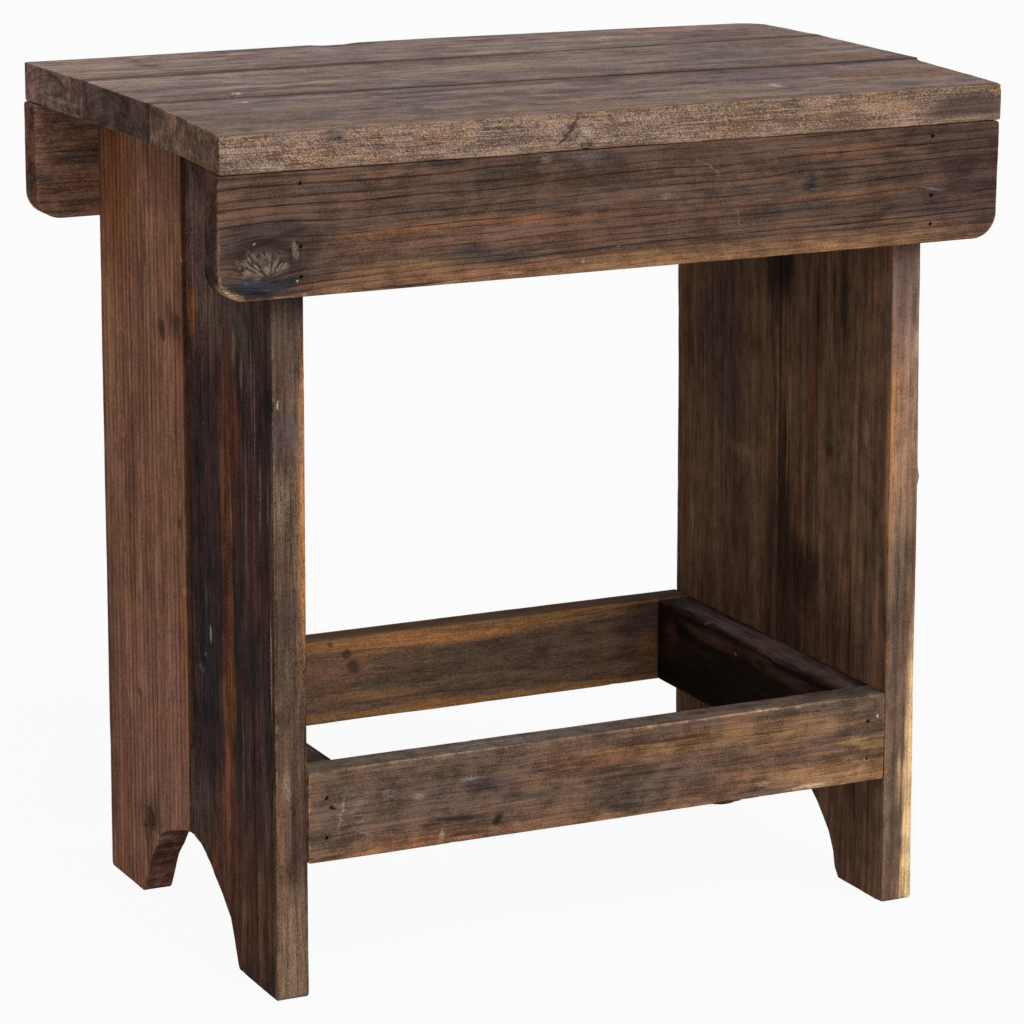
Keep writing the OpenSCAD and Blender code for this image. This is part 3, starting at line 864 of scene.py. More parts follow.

# %% [markdown]
# Hands and knees rub the arrises bare, but not where another board shelters them. Dust and dirt gather in the
# pores and the joints, and along the left leg's joint the dark line is partly painted shadow.

# %% Wear, dust and dirt
def worn(w, colour, mm, cloud, streak, shade, bare, bare_reach, bare_share, shelter):
    """Bare wood along the arrises. shelter: (axis, from, to) where it fades out under another board."""
    mask = w.use(wear, cloud, bare_reach, 6.0)[0]
    patchy = w.ramp(w.noise(w.moved(cloud, 0, 90, 0), (60, 20, 20), 3.0, 0.6), 0.4, 0.62, 0.25, 1.0)
    mask = w.times(mask, w.times(patchy, w.ramp(streak, 0.1, 0.7, bare_share * 0.4, bare_share)))
    for axis, open_at, hidden_at in shelter:
        mask = w.times(mask, w.ramp(w.add("SeparateXYZ", mm, out=axis), open_at, hidden_at, 1.0, 0.0))
    return w.paint(colour, w.tinted(tone(bare), shade), mask)


def dirtied(w, colour, mm, cloud, end, flecks, dirt_and_shadow):
    """Pale flecks of dust, then grime along the joints, as the strength of a dark line and of a soft band
    beside it, and last dark pores. On the left leg's front board the dark line is partly painted shadow of
    the rebate's step."""
    dust = w.use(speckle, w.moved(cloud, 50, 0, 0), 1.1, flecks)[0]
    dust = w.times(dust, w.ramp(w.noise(cloud, (40, 16, 16), 2.0), 0.5, 0.62))
    colour = w.paint(colour, "#a08c78", dust, 0.5)
    if dirt_and_shadow:
        frayed = w.less(w.noise(mm, (18, 4, 4), 4.0, 0.65), 0.5)
        seam, top = w.math("MULTIPLY_ADD", frayed, 4.5, w.value("seam")), w.less(1.0, end)
        colour = w.paint(colour, "#4c3c31", w.ramp(seam, 8.0, 0.5, 0.0, dirt_and_shadow[1]), top)
        colour = w.paint(colour, "#201612", w.ramp(seam, 1.3, 0.4, 0.0, dirt_and_shadow[0]), top)
    pores = w.noise(cloud, (9, 0.7, 0.7), 1.0)
    deep = w.tinted(colour, 0.4, 0.37, 0.38)
    return w.paint(colour, deep, w.ramp(pores, 0.36, 0.27, 0.0, 0.4)), pores


made(worn, dirtied)

# %% [markdown]
# Knots are dark arcs about their core. Marks lie over the grain and let some of it through. Last come the
# hollows that the mesh really has: dirt fills the dents, and torn fibres are pale.

# %% Knots, marks and torn wood
def marked(w, colour, height, bands, mild, rims, marks, shade):
    """The reach of a knot, times 3.3, gives its arcs by what is left over after each whole number."""
    for reach, dark in rims:
        arc = w.math("FRACT", w.times(reach, 3.3))
        inside = w.ramp(reach, 1.15, 0.75)
        colour = w.paint(colour, "#2e211c", inside, w.ramp(arc, 0.35, 0.9, 0.3 * dark, dark))
        height = w.less(height, w.times(inside, w.ramp(arc, 0.4, 1.0, 0.0, 0.4 * dark)))
    through = w.ramp(w.math("ADD", bands[1], bands[0]), 0.4, 1.1, 0.25, 1.0)
    for *form, hue, strength, soft in spots(marks):
        mask = w.times(w.use(spot, mild, *form, soft)[0], through)
        colour = w.paint(colour, w.tinted(tone(hue), shade), mask, strength)
    colour = w.paint(colour, "#120d0a", w.ramp(w.value("dip"), 0.4, 1.6))
    splinter = w.paint(tone("#2c211b"), "#6f6157", w.ramp(w.value("crest"), 0.0, 0.6))
    return w.paint(colour, w.tinted(splinter, shade), w.value("torn")), height


made(marked)

# %% [markdown]
# One function puts the steps together. The shader itself stays in the material: old wood has almost no
# shine, and its bumps follow the fibres, the pores and the rings.

# %% Old wood
def wood(node, base, clouds="", stains="", knots=(), pith=(0, 0, -60), spacing=3.2, wander=4.0,
         width=0.3, lines=0.6, contrast=0.45, weights=(0.8, 0.6, 0.35, 0.3, 0.5), bare="#a98763",
         bare_reach=1.4, bare_share=0.7, end_tint=(0.62, 0.6, 0.64), sides=(), calm=0.0, dirt_and_shadow=None,
         shelter=(), marks="", flecks=0.02, slant=0):
    """A finish for one board. The rings have a pith, a spacing, a wander, a width and a strength called
    lines; knots: (centre, size, push, darkness); slant: degrees by which the grain leaves the board."""
    piece, lay, seed = boards[node]
    material, w, surface = new_finish(node + "_wood")
    mm = w.mm()
    ragged, mild = torn_places(w, mm, lay, seed)
    bent, rims = mm, []
    for centre, size, push, *dark in knots:
        bent, reach = w.use(knot, bent, centre, size, push)
        rims.append((reach, dark[0] if dark else 0.85))
    turn = (TURNS[lay][0], TURNS[lay][1] + math.radians(slant), TURNS[lay][2])
    turned = w.add("Mapping", bent, ZERO, turn)
    cloud = w.moved(turned, seed * 91.0, seed * 37.0, seed * 53.0)
    line, place = w.use(rings, turned, cloud, pith, spacing, wander, width)
    bands = w.use(fibre, cloud)
    grit, fine, streak = bands[:3]

    colour, height = stained(w, tone(base), cloud, ragged, clouds, stains), w.times(streak, 0.14)
    for side in sides:
        colour, height = sawn(w, colour, height, mm, *side)
    colour, shade, level = grained(w, colour, bands, weights, contrast, calm)
    end = w.ramp(w.value("end"), 0.55, 0.85)
    colour = ringed(w, colour, mm, end, line, place, lines, end_tint)
    colour = worn(w, colour, mm, cloud, streak, shade, bare, bare_reach, bare_share, shelter)
    colour, pores = dirtied(w, colour, mm, cloud, end, flecks, dirt_and_shadow)
    colour, height = marked(w, colour, height, bands, mild, rims, marks, shade)

    for source, high in ((fine, 0.12), (grit, 0.08), (pores, 0.12), (line, -0.12)):
        height = w.math("MULTIPLY_ADD", source, high, height)
    surface.inputs["Specular IOR Level"].default_value = 0.02
    w.feed(surface.inputs["Base Color"], colour)
    w.feed(surface.inputs["Normal"], w.add("Bump", 1.0, MM, None, height))
    w.feed(surface.inputs["Roughness"], w.ramp(level, 0.2, 0.8, 0.8, 0.96))
    piece.data.materials.append(material)
    print(material.name, len(material.node_tree.nodes), "nodes")


made(wood)

# %% [markdown]
# The top boards are dry and grey-brown, with a purple tint and fine fibres. Dirt darkens the joints, the
# front arris is worn to bare wood, and the front edge still shows the speckled surface of the saw.

# %% Finish of the top
TOP_GRAIN = dict(lines=0.4, contrast=0.42, weights=(1.3, 1.2, 0.65, 0.6, 0.7))
wood("top_board_back", dirt_and_shadow=(0.45, 0.45), shelter=[(1, 68, 61)], base="#8c7c77",
     pith=(0, 100, 385), spacing=3.4, **TOP_GRAIN,
     clouds="a38b81 120 22 .6, 796a6a 70 14 .5", bare="#8f7a68", bare_share=0.5,
     end_tint=(0.54, 0.45, 0.44),
     stains="""z450:30 -180 118 55 22 a68f84 .75 .6, -38 136 22 9 5e514c .85 .5, -40 60 62 4 645648 .8 .7,
    -170 114 3 22 6e5e55 .75 .6, 175 84 40 24 7a6762 .7 .6, 148 122 15 8 a4806c .6 .6,
    -55 100 32 20 92817f .6 .6, 60 82 22 12 897d74 .6 .6""",
     marks="""z450:9 -168 98 6 4.5 50423b .85 .5, 108 105 6 4 a89993 .7 .6, -49 129 6 4 463b37 .7 .5,
    5 98 5 3 71625d .6 .5, 135 110 .8 22 af9f96 .6 .5 6, x-221:9 100 443 14 3 816e62 .6 .5,
    86 436 20 1.2 a58f7e .5 .5""")
wood("top_board_middle", dirt_and_shadow=(0.8, 0.5), shelter=[(1, -24, -40), (1, 50, 58)],
     base="#897872", pith=(0, 20, 380), spacing=3.2, **TOP_GRAIN,
     clouds="9a857b 110 20 .6, 786a6c 80 16 .5", bare="#8b7767", bare_share=0.4,
     end_tint=(0.305, 0.257, 0.247),
     stains="""z450:30 -205 40 40 22 a38e87 .7 .6, 178 -22 38 9 91715a .65 .6, -40 56 60 5 695a4b .75 .7,
    130 8 36 26 786c6d .6 .6, -190 -8 26 12 796b69 .6 .6, 60 -31 100 5 6c5c54 .7 .8,
    -10 15 60 14 978573 .5 .6, -150 -23 50 7 6f5f5c .6 .6""",
     marks="""z450:9 -163.5 -13 2.4 3.2 dac8bf .95 .4, -170 -21 1 6 342925 .9 .4,
    182 25 4 2.5 534641 .8 .5, -148 27 9 3 af9c95 .5 .7, -55 -22 6 3 65544c .5 .6,
    118 0 4 6 a5948f .5 .6""")
wood("top_board_front", dirt_and_shadow=(0.9, 0.5), shelter=[(1, -50, -40)], base="#877770",
     pith=(0, -150, 398), spacing=3.0, **TOP_GRAIN,
     clouds="947e76 110 20 .6, 76696a 60 14 .5", bare="#a38264", bare_reach=1.5, bare_share=0.75,
     end_tint=(0.76, 0.62, 0.52), sides=[(1, -138, 1.6, "#8b7368", 0.8)],
     stains="""z450:30 185 -86 46 22 8f7260 .7 .6, -190 -95 34 26 806f65 .7 .6, 90 -42 130 4 6a5b55 .7 .8,
    -60 -122 150 12 917969 .6 .7, 120 -60 60 18 79676c .6 .6, 178 -38 28 4 90694f .7 .6,
    -150 -40 30 10 867b7e .6 .6""",
     marks="""z450:9 -171 -42 3 2.8 cdbdb6 .95 .4, -93 -61 3 2.2 514543 .75 .5,
    -108 -52 2.5 3 594c4a .7 .5, -99 -98 5 7 685a56 .7 .6, -38 -107 4 2.5 61534f .7 .5,
    88 -62 4 3 584b4a .75 .5, 97 -80 2 7 655757 .6 .6 30, 104 -97 3.5 6 b3a49f .8 .5,
    183 -87 2.5 5 5e524c .7 .5, -205 -125 2.5 3 51423a .7 .5, -192 -106 2.5 4 695951 .6 .5,
    -15 -108 5 10 9f7b60 .5 .6, y-138:5 -165 448 7 1.2 a9826c .6 .5, -166 445 6 .7 4f352c .7 .5,
    -37 440 1 11 362923 .85 .5 -38, -28 437 3 6 b79f8c .6 .6, 120 441 62 6 b08d63 .22 .8,
    196 436 26 9 5d4a48 1 .45, x213:3 -138 447 7 4 b3855c .85 .4,
    y-138:5 110 431 150 2.4 ad917a .7 .7, -205 433 16 .8 b4a08f .5 .6, -60 431.5 150 2 9c816f .5 .7""")

# %% [markdown]
# The aprons keep an old brown stain. Their ring lines are dark and clear, closer together along the lower
# edge, which is worn to an orange tan. The front one has a large knot at its left end, with a torn core,
# and its rings bend around it.

# %% Finish of the aprons
wood("apron_front", "#5e493e", pith=(0, -106, 450), spacing=3.1, wander=3.6, width=0.3,
     lines=1.0, contrast=0.5, weights=(0.6, 0.44, 0.2, 0.35, 0.5),
     clouds="694d3f 140 7 .5, 51433d 60 10 .45", slant=1.2, bare="#a57c5a", bare_reach=1.5,
     bare_share=0.75, end_tint=(0.6, 0.55, 0.58), flecks=0.03,
     knots=[((-201, -138, 388), (15, 12, 11), 9.0, 0.35)], shelter=[(2, 395, 420)],
     stains="""x-202:15 -138 374 12 5 202124 .9 .3, y-138:30 60 370 170 6 89664a .85 .7,
    -120 372 70 4.5 835f4a .75 .6, -90 397.5 66 2.4 8c5f40 .7 .7, -125 379 28 3.2 876446 .5 .7,
    -123 370 20 1.5 3a2f36 .75 .5, -28 426 36 2.4 43373b .65 .6, -100 392 55 6 6e5144 .7 .6,
    200 402 26 26 4a3836 .85 .6, 175 425 40 9 4e3c37 .7 .6, -198 388 26 21 473b37 .9 .5,
    -188 404 8 3.5 41363a .7 .5, -88 386 10 2 3d3637 .8 .5, 107 405 5 4 393538 .85 .5,
    15 390 60 8 59433a .6 .7, 120 420 26 4 73523c .6 .6, 170 390 16 8 493938 .7 .6""",
     marks="""y-138:9 -203 374.5 14 4.8 30333a .95 .3, -187 376 6 2.5 28282b .8 .5,
    -210 377 1.4 .9 50545a .5 .5, -198 373 2 .6 4a4d53 .5 .5, -204 371.5 4 .7 15161a .8 .5,
    -195 377 3 1 15161a .7 .5, -197 395.5 15 3.5 3a2d2a .65 .5, -212 392 5 5 3d3230 .6 .5,
    -192 399 14 1.6 2d2523 .8 .5 16, -185 391 1.2 6 251c17 .9 .4 -24, -183.5 390 1 2.4 a87542 .8 .5,
    y-138:4 -183 376.5 .6 .6 d2cbbf .7 .5, -206 396 .6 .7 c7c1b9 .7 .5,
    y-138:9 -219 371 11 3 b29073 .85 .5 -32, -27 427 10 1.6 756a64 .4 .8, -50 427 2.5 3 807566 .5 .7,
    20 404 3 1.6 80756f .5 .7, 43 416 7 .5 837569 .5 .6 -42, 174 397 6 .5 8c817c .5 .6 -12,
    60 389 .5 5 877767 .4 .6 20, -30 374 1.2 .9 9d9182 .5 .6, -7 380 1.4 1 8a7e6e .4 .6,
    -68 371 6 1.1 b38763 .5 .6, -15 371.5 8 1 ad8461 .45 .6, 45 371 10 1.2 ae8560 .4 .6,
    115 372 9 1.4 ae8560 .4 .6, -112 380 4 1.2 ab8250 .4 .6""")
wood("apron_back", "#8a6757", pith=(0, 106, 350), spacing=3.0, lines=0.5, contrast=0.5,
     shelter=[(2, 395, 420)], clouds="87604b 140 8 .5, 624f48 60 12 .5", bare="#8f6a4c", bare_share=0.7,
     end_tint=(0.6, 0.55, 0.58), knots=[((120, 138, 404), (12, 12, 9), 6.0)],
     stains="""y138:12 -100 371 150 5 a3724d .8 .7, 120 404 20 14 5c473f .8 .5, 20 424 90 5 5e4943 .6 .7,
    -160 400 40 18 634c43 .6 .6""",
     marks="""y138:9 60 395 9 .8 af9988 .6 .5 14, -40 415 2 1.5 b5a08d .5 .5, 120 404 7 5 473630 .8 .4""")

# %% [markdown]
# The left leg joins two old boards: the rear one is red-brown with straight grain like pinstripes, the front
# one is almost black, with a streak of red-brown that runs down to the foot. Both right boards are a middle
# brown, and darker on their inner faces just above the low frame.

# %% Finish of the legs
wood("leg_left_rear_board", "#8e644f", dirt_and_shadow=(0.5, 0.15), pith=(0, 260, 150), spacing=5.8,
     wander=0.5, width=0.6, lines=0.85, contrast=0.5, weights=(0.8, 0.7, 0.25, 0.25, 0.3),
     shelter=[(2, 330, 380)], clouds="9d725c 150 10 .5, 7a5544 90 14 .4", bare="#a4714a", bare_share=0.85,
     bare_reach=1.6, end_tint=(0.46, 0.44, 0.5), flecks=0.03,
     knots=[((-190, 57, 46), (9, 8, 7), 6.0), ((-190, 28, 322), (4, 4, 6), 4.0)],
     stains="""x-190:30 95 390 25 50 7f4b2c .7 .7, 30 80 50 90 9a705f .6 .8, 4 145 4 50 8d5d3f .6 .6,
    14 328 14 9 61463c .7 .6, 6 350 6 18 7f5538 .6 .6, 115 150 9 90 75584c .6 .7,
    55 290 14 30 815f4a .6 .7, 60 45 16 14 715541 .7 .6, x-173:6 60 210 45 150 60463d .7 .7,
    x-190:30 20 405 30 16 6f4d3d .6 .7""",
     marks="""x-190:9 31 324 3.5 4.5 43322b .8 .5, 8 330 5 4 41322c .8 .5, 8 222 2 3 48342a .8 .5,
    71 114 2.5 2.5 523a30 .8 .5, 102 245 2 2.5 59403b .7 .5, 60 20 1.2 20 48352c .7 .5 -18,
    66 40 5 .9 3d2b24 .8 .5 30, 50 56 .9 7 3d2b24 .8 .5 24, 46 38 5 1.4 a68673 .6 .5 20,
    36 44 2 1 ac8d79 .6 .5, .5 130 .8 60 ab7851 .6 .6, 3 187 3 2.5 ab7c5e .6 .5,
    x-190:4 0 365 .8 1.2 dcb797 .7 .4""")
# On this board the dark line along the joint is partly grime and partly painted shadow of the step where the
# rear board stands proud of the rebate. The near-black stain at y -2, 77 to 253 mm up, is painted shadow of
# that step.
wood("leg_left_front_board", dirt_and_shadow=(0.85, 0.3), base="#422f2d", pith=(0, -75, 130),
     spacing=3.4, width=0.45, lines=0.7, contrast=0.65, weights=(1.3, 1.0, 0.6, 0.4, 0.6), calm=0.6,
     clouds="523c35 130 9 .5, 322a28 80 14 .5", bare="#84624a", bare_share=0.8, bare_reach=1.3,
     end_tint=(0.9, 0.85, 0.9), flecks=0.03,
     stains="""x-190:12 -58 205 7 115 784933 .8 .5, -57 150 8 26 8f5c37 .75 .6, -55 84 8 34 85503d .8 .6,
    -70 290 6 26 60352b .7 .6, -25 370 32 44 684f49 .85 .6, -40 392 8 26 826d5e .7 .5,
    -9 395 3.5 20 634f53 .7 .5, -5 342 9 12 905728 .8 .6, -8 368 10 12 674649 .6 .6,
    -32 160 20 62 312c2f .8 .6, -35 345 22 12 5e5042 .6 .6, -92 225 8 30 5a3530 .6 .6,
    -60 40 60 42 5f3f32 .75 .7, -97 40 3 30 6e533c .7 .6, -74 18 3 20 77573b .7 .6,
    -36 52 5 7 864f33 .8 .5, -14 78 14 20 564b44 .6 .6, -2 165 2.2 88 130e0c .9 .5,
    -90 345 30 16 50433c .7 .6, x-181:14 -120 240 3 130 624f42 .9 .5,
    y-120:5 -176 255 3 75 836854 .8 .5, -187 60 4 75 7c604b .8 .5, -177 120 4 40 5b493d .8 .5,
    -181 20 12 36 816954 .8 .6, -181 345 12 20 584840 .8 .5""",
     marks="""x-188:9 -26 193 4 8 878083 .55 .7, x-190:9 -34 174 1.4 4.5 aaa2a5 .75 .5,
    x-188:9 -14 150 5 2 5f595b .6 .6, -22 158 3 1.2 7e7577 .6 .5, x-190:9 -63 258 1 26 a76d4d .6 .5 4,
    -97 300 .8 30 968177 .5 .5, -103 262 .8 20 a8968c .55 .5, -115 175 .9 24 a99594 .6 .5,
    -90 175 9 20 282529 .7 .6, -113 260 1.5 14 825b49 .6 .5, -84 250 1.3 38 72584f .6 .5,
    -77 120 1.6 34 6f4c3c .6 .6, -104 130 2.2 34 5d4440 .6 .6, -93 320 1.4 24 6e5650 .6 .5,
    -80 318 1.5 9 95806c .5 .6, y-120:4 -187 312 .8 2 beae9d .8 .4, -181 298 12 9 514548 .7 .5 24,
    -180 203 9 12 4a3c3d .7 .5 -24, -184 113 2.2 8 8f7966 .5 .6, -174 250 1.8 75 a86f42 .85 .6,
    -186 262 4 14 836d57 .6 .6, x-190:9 -70 330 2 9 806d5a .5 .6, -30 130 16 14 272326 .6 .7""")
RIGHT = dict(spacing=3.6, wander=3.0, width=0.4, lines=0.5, contrast=0.45,
             weights=(0.65, 0.5, 0.35, 0.5, 0.5), calm=0.1, bare="#a06d42", bare_share=0.8, bare_reach=1.4,
             end_tint=(0.7, 0.66, 0.7))
wood("leg_right_rear_board", dirt_and_shadow=(0.7, 0.2), shelter=[(1, 12, 3)], base="#755844",
     pith=(0, 40, -90), clouds="82614b 140 11 .5, 60483c 90 16 .5",
     knots=[((184, 62, 252), (7, 6, 8), 5.0)], **RIGHT,
     stains="""x165:12 60 300 18 80 5d4743 .75 .6, 0 330 16 16 2b211b .9 .6, 30 230 14 80 7f634d .6 .7,
    8 160 8 60 453127 .75 .6, 62 140 60 18 5e463a .6 .8, 110 200 7 120 7c5a41 .6 .6,
    x182:6 60 200 40 120 936b4f .6 .8""",
     marks="""x183:6 96 385 1.1 26 2b1e17 .85 .5 -1, 38 190 .6 30 a88a6f .5 .5 14,
    112 300 3 8 b08e6c .6 .5, 30 90 5 3 34251d .7 .6, x165:9 43 220 10 5 967a63 .5 .7,
    27 282 6 6 49392b .5 .7, 2 255 1.2 45 a8805e .6 .5, 100 168 1.2 9 aa8c6d .5 .6""")
wood("leg_right_front_board", dirt_and_shadow=(0.5, 0.2), shelter=[(1, -14, -5)], base="#745745",
     pith=(0, -60, -95), clouds="84614a 140 11 .5, 5d473b 90 16 .5",
     knots=[((184, -70, 132), (6, 5, 7), 5.0)], **RIGHT,
     stains="""x165:12 -6 180 8 66 30221b .9 .6, -41 300 4 46 4c362b .7 .7, -26 166 20 19 34241c .8 .4,
    -50 140 50 18 513a2e .6 .7, -5 332 12 14 271d19 .9 .6, -22 200 3 26 79422d .7 .6,
    -38 268 3 26 79422d .6 .6, -88 250 14 40 866550 .7 .7, -90 30 25 26 664d3c .5 .7,
    x174:12 -120 345 4 54 76615a .85 .6, y-120:5 166 240 5 60 b3845d .8 .5, 174 255 5 60 9e7b64 .7 .6,
    182 300 4 70 b69a7b .85 .5, 172 190 7 30 6d5c4e .7 .6, 170 90 8 90 775f52 .8 .5,
    172 60 8 75 745f50 .8 .5, 185.5 62 8.5 96 ddb787 .95 .25""",
     marks="""x184:6 -34 60 1.2 36 241913 .85 .5 2, x183:6 -60 330 .6 24 a5876b .5 .5 -20,
    -100 395 4 3 3a2a21 .7 .6, -45 215 2 9 9a7759 .5 .6, x165:9 -7 235 1.3 26 37271f .85 .5 3,
    -80 150 1.4 40 271c15 .7 .6 -1, -89 40 1.1 44 2a1e18 .8 .5 2, -42 318 1.6 16 32231b .8 .5,
    -59 334 2 12 32231b .8 .5, -42 250 1 50 422f24 .6 .5, -55 241 5 4.5 2c1e17 .8 .6,
    -95 258 2 7 b39377 .6 .5, -9 232 .8 24 ad8662 .5 .5, -12 262 1 20 997555 .5 .5,
    x177.4:.6 -120 50 5 70 47372d .7 .5""")

# %% [markdown]
# The low frame takes the knocks of shoes. Its upper arrises and the lower edge of the front stretcher are
# worn to tan and orange, and the side rails are nearly black all over.

# %% Finish of the low frame
wood("stretcher_front", "#675144", pith=(0, -95, 60), spacing=3.6, lines=0.32,
     contrast=0.5, weights=(0.72, 0.44, 0.2, 0.3, 0.65), clouds="7a5a46 90 8 .5, 55463e 50 9 .5",
     bare="#ad8056", bare_share=0.85, bare_reach=1.5, flecks=0.03,
     stains="""y-120:30 60 107 70 5 896745 .65 .7, 138 80 36 6 a07753 .75 .7, 152 94 8 4 96744e .6 .6,
    -120 75 50 5 94684d .8 .7, -25 84 16 9 735743 .6 .7, -15 105 30 6 7c563f .6 .7,
    -90 100 60 18 5d4b43 .6 .7, 30 96 50 6 5a4942 .6 .7, -155 96 14 22 614f45 .7 .6,
    -145 92 3 16 78685a .45 .6, y-111:12 60 120 110 3 645751 .8 .7, -90 120 90 3 706660 .8 .7,
    155 120 30 3 504541 .8 .7, x-66:15 -120 101 30 5 4c3c3f .65 .6""",
     marks="""y-120:6 -159 100 1.6 1.4 0f0a08 .95 .2, -154 98 .7 12 94826d .5 .6 -14,
    -88 84.5 14 1.1 2f2520 .8 .5 -4, -66 81 2.6 3 261f1c .85 .5, -84 76 9 1.2 2f2623 .8 .5,
    -56 93 8 1.6 403736 .8 .5, -45 91 9 1 3e3430 .7 .5, -106 83 5 1 312520 .7 .5,
    -83 105 5 2 766d6b .7 .6, -128 103 4 2 857871 .6 .6, -110 99 3 1.5 8d7f76 .6 .6,
    30 110.5 30 .9 372a22 .8 .5, 20 94.5 24 .8 45362e .7 .5, 111 119 1.4 .4 b39d86 .6 .5,
    88 119.5 1.6 .4 b39d86 .6 .5, x161:.6 -120 107.5 4 .8 e7dbca .8 .4,
    y-120:6 156 84 2 .9 b39675 .7 .5, 134 105 6 3 866d5f .4 .7, 90 79 4 1.5 af8d71 .7 .5,
    120 73.5 12 1.2 c5a886 .7 .5, -98 77 1.5 2 ccb9a1 .6 .5, -160 73 8 1.4 312723 .8 .5,
    x-52:26 -111 120 3 2 827870 .5 .6, x69:9 -120 71 9 1.4 1d1613 .9 .4""")
wood("stretcher_back", "#644e3e", pith=(0, 60, 98), spacing=3.2, lines=0.4, contrast=0.42,
     weights=(0.8, 0.5, 0.1, 0.1, 0.3), clouds="755747 100 9 .5, 524339 60 10 .5", bare="#a9743f",
     bare_share=0.9, bare_reach=2.2,
     stains="""y103:12 -10 117 90 6 a9764a .85 .6, 80 118 60 3 87623f .8 .6, 20 73 160 3 8a623c .75 .6,
    -35 85 28 4 826044 .6 .6, 135 100 16 30 46352f .85 .6, 60 95 60 12 53443a .7 .7,
    140 90 6 12 754c2a .6 .6, x0:170 111 120 8 3 544841 .8 .7, x30:120 120 90 5 18 634d40 .7 .8""",
     marks="""y103:6 -54 110.5 3 2.2 281d18 .9 .4, -49 103 3.4 4.5 342923 .85 .5 34,
    -64 117 1.8 1.4 3a281c .8 .5, -43 97 5 1.2 41342d .6 .6, 70 97 5 5 3a2d23 .6 .7""")
for rail in ("side_rail_left", "side_rail_right"):
    wood(rail, "#221913", pith=(0, 90, 70), spacing=3.4, lines=0.4, contrast=0.5,
         clouds="2c1f17 90 9 .5, 17110e 60 12 .5", bare="#5a3f2c", bare_share=0.7, bare_reach=1.5,
         stains="""x144:9 86 104 7 5 4c3426 .8 .6, 36 113 24 3.5 543b2f .8 .7, -12 114 16 2.5 543e2f .7 .7,
    -55 112 26 3 4e382c .75 .7, y0:105 155 120 9 2.5 6c5a56 .9 .5, -162 120 12 2.5 6a5854 .9 .5,
    x-152:4 0 112 60 4 5c4531 .6 .7""",
         # The bluish-grey speck at y 9, 111 mm up on the right rail's inner face is a painted highlight, a
         # glint as of a nail head where there is no nail.
         marks="""x144:4 9 111 .7 .7 9091a1 .8 .4, x146:4 46 119.5 2 .6 ab9584 .5 .5""")

# %% [markdown]
# The nails and dowels are the construction model's own shapes. Steel that has lain in wood for years is
# brown-black, with rust where it is rough. The dowels are hidden in the legs, and plain, pale beech.

# %% Finish of nails and dowels
def steel():
    """Dark metal, turning to rough rust where noise is high."""
    material, w, surface = new_finish("old_steel")
    rust = w.ramp(w.noise(w.mm(), (0.9, 0.9, 0.9), 4.0), 0.42, 0.6)
    w.feed(surface.inputs["Base Color"], w.mix(rust, tone("#3c3836"), tone("#4a2d1d")))
    w.feed(surface.inputs["Metallic"], w.ramp(rust, 0.0, 1.0, 0.9, 0.1))
    w.feed(surface.inputs["Roughness"], w.ramp(rust, 0.0, 1.0, 0.45, 0.85))
    return material


def beech():
    """Two pale tones mixed by the streaks, which run along the dowels."""
    material, w, surface = new_finish("dowel_beech")
    _, fine, streak = w.use(fibre, w.add("Mapping", w.mm(), ZERO, TURNS["on_edge_y"]))[:3]
    w.feed(surface.inputs["Base Color"], w.mix(streak, tone("#a98a63"), tone("#c8a981")))
    w.feed(surface.inputs["Roughness"], w.ramp(fine, 0.0, 1.0, 0.6, 0.75))
    return material


dressed = {"dowel_wood": beech(), "fixing_steel": steel()}
for row in frame["record"]["subparts"]:
    if row["material_slot"] in dressed:
        for place in bpy.data.objects[row["node"]].material_slots:
            place.material = dressed[row["material_slot"]]
print("materials:", len(bpy.data.materials))

# %% [markdown]
# The stool stands on a plain white floor in soft light. A sun lamp with a wide angle acts like a big soft
# box that is far away: it lights the floor evenly, and its shadows have soft edges. The camera sees the
# floor as mostly white paper, through Light Path, so that the background stays white without more light on
# the wood, but a share of the real shading keeps the stool's shadow.

# %% Floor, world and lamps
FLOOR_HALF = 14.0        # metres
FLOOR_WHITE = 0.62       # how much light the lit floor throws back
PAPER = 0.94             # share of even white in what the camera sees


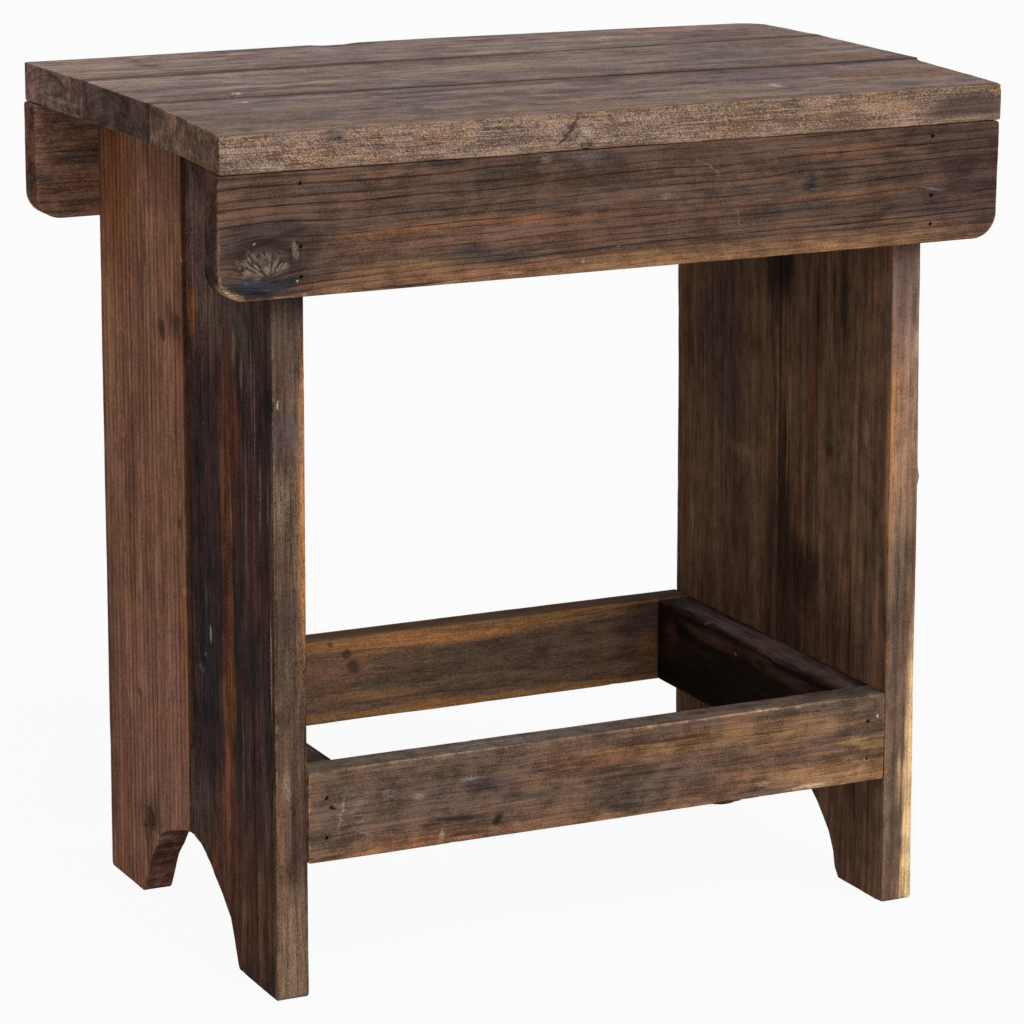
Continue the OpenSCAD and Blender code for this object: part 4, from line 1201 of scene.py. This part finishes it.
def watched(w):
    """1 for rays from the camera and for those that show in gloss or glass, 0 for light on the wood."""
    seen, glossy, through = (w.add("LightPath", out=f"Is {kind} Ray")
                             for kind in ("Camera", "Glossy", "Transmission"))
    return w.math("MAXIMUM", w.math("MAXIMUM", seen, glossy), through)


def floor_material():
    """Watched rays see a mix of even white and the lit floor. All other rays see the lit floor alone."""
    material, w, surface = new_finish("floor_paper")
    surface.inputs["Base Color"].default_value = (FLOOR_WHITE, FLOOR_WHITE, FLOOR_WHITE, 1)
    surface.inputs["Roughness"].default_value = 0.9
    surface.inputs["Specular IOR Level"].default_value = 0.1
    seen = w.add("MixShader", w.times(watched(w), PAPER), surface.outputs[0], w.add("Emission"))
    w.feed(material.node_tree.nodes["Material Output"].inputs["Surface"], seen)
    return material


floor_mesh = bpy.data.meshes.new("floor")
floor_mesh.from_pydata([(x, y, 0) for x, y in ((-1, -1), (1, -1), (1, 1), (-1, 1))], [], [(0, 1, 2, 3)])
floor_mesh.transform(Matrix.Scale(FLOOR_HALF, 4))
floor_mesh.materials.append(floor_material())
floor = bpy.data.objects.new("floor", floor_mesh)
bpy.context.scene.collection.objects.link(floor)

AMBIENT = 0.26           # strength of the sky that lights the wood
world = bpy.data.worlds.new("studio")
world.use_nodes = True
bpy.context.scene.world = world
sky, background = Wiring(world.node_tree), world.node_tree.nodes["Background"]
background.inputs["Color"].default_value = (1, 1, 1, 1)
sky.feed(background.inputs["Strength"], sky.add("MapRange", watched(sky), 0.0, 1.0, AMBIENT, 1.0))

# name: (towards the lamp in degrees about the stool, height in degrees, light, width in degrees)
LAMPS = {"key": (14, 34, 2.45, 50), "left": (-62, 30, 0.7, 70)}
for name, (around, height, light, width) in LAMPS.items():
    lamp = bpy.data.lights.new(name, "SUN")
    lamp.energy, lamp.angle = light, math.radians(width)
    shine = bpy.data.objects.new(name, lamp)
    shine.rotation_euler = (math.radians(90 - height), 0, math.radians(around))
    bpy.context.scene.collection.objects.link(shine)
bpy.context.scene.view_settings.view_transform = "Standard"
print("lamps:", ", ".join(LAMPS))
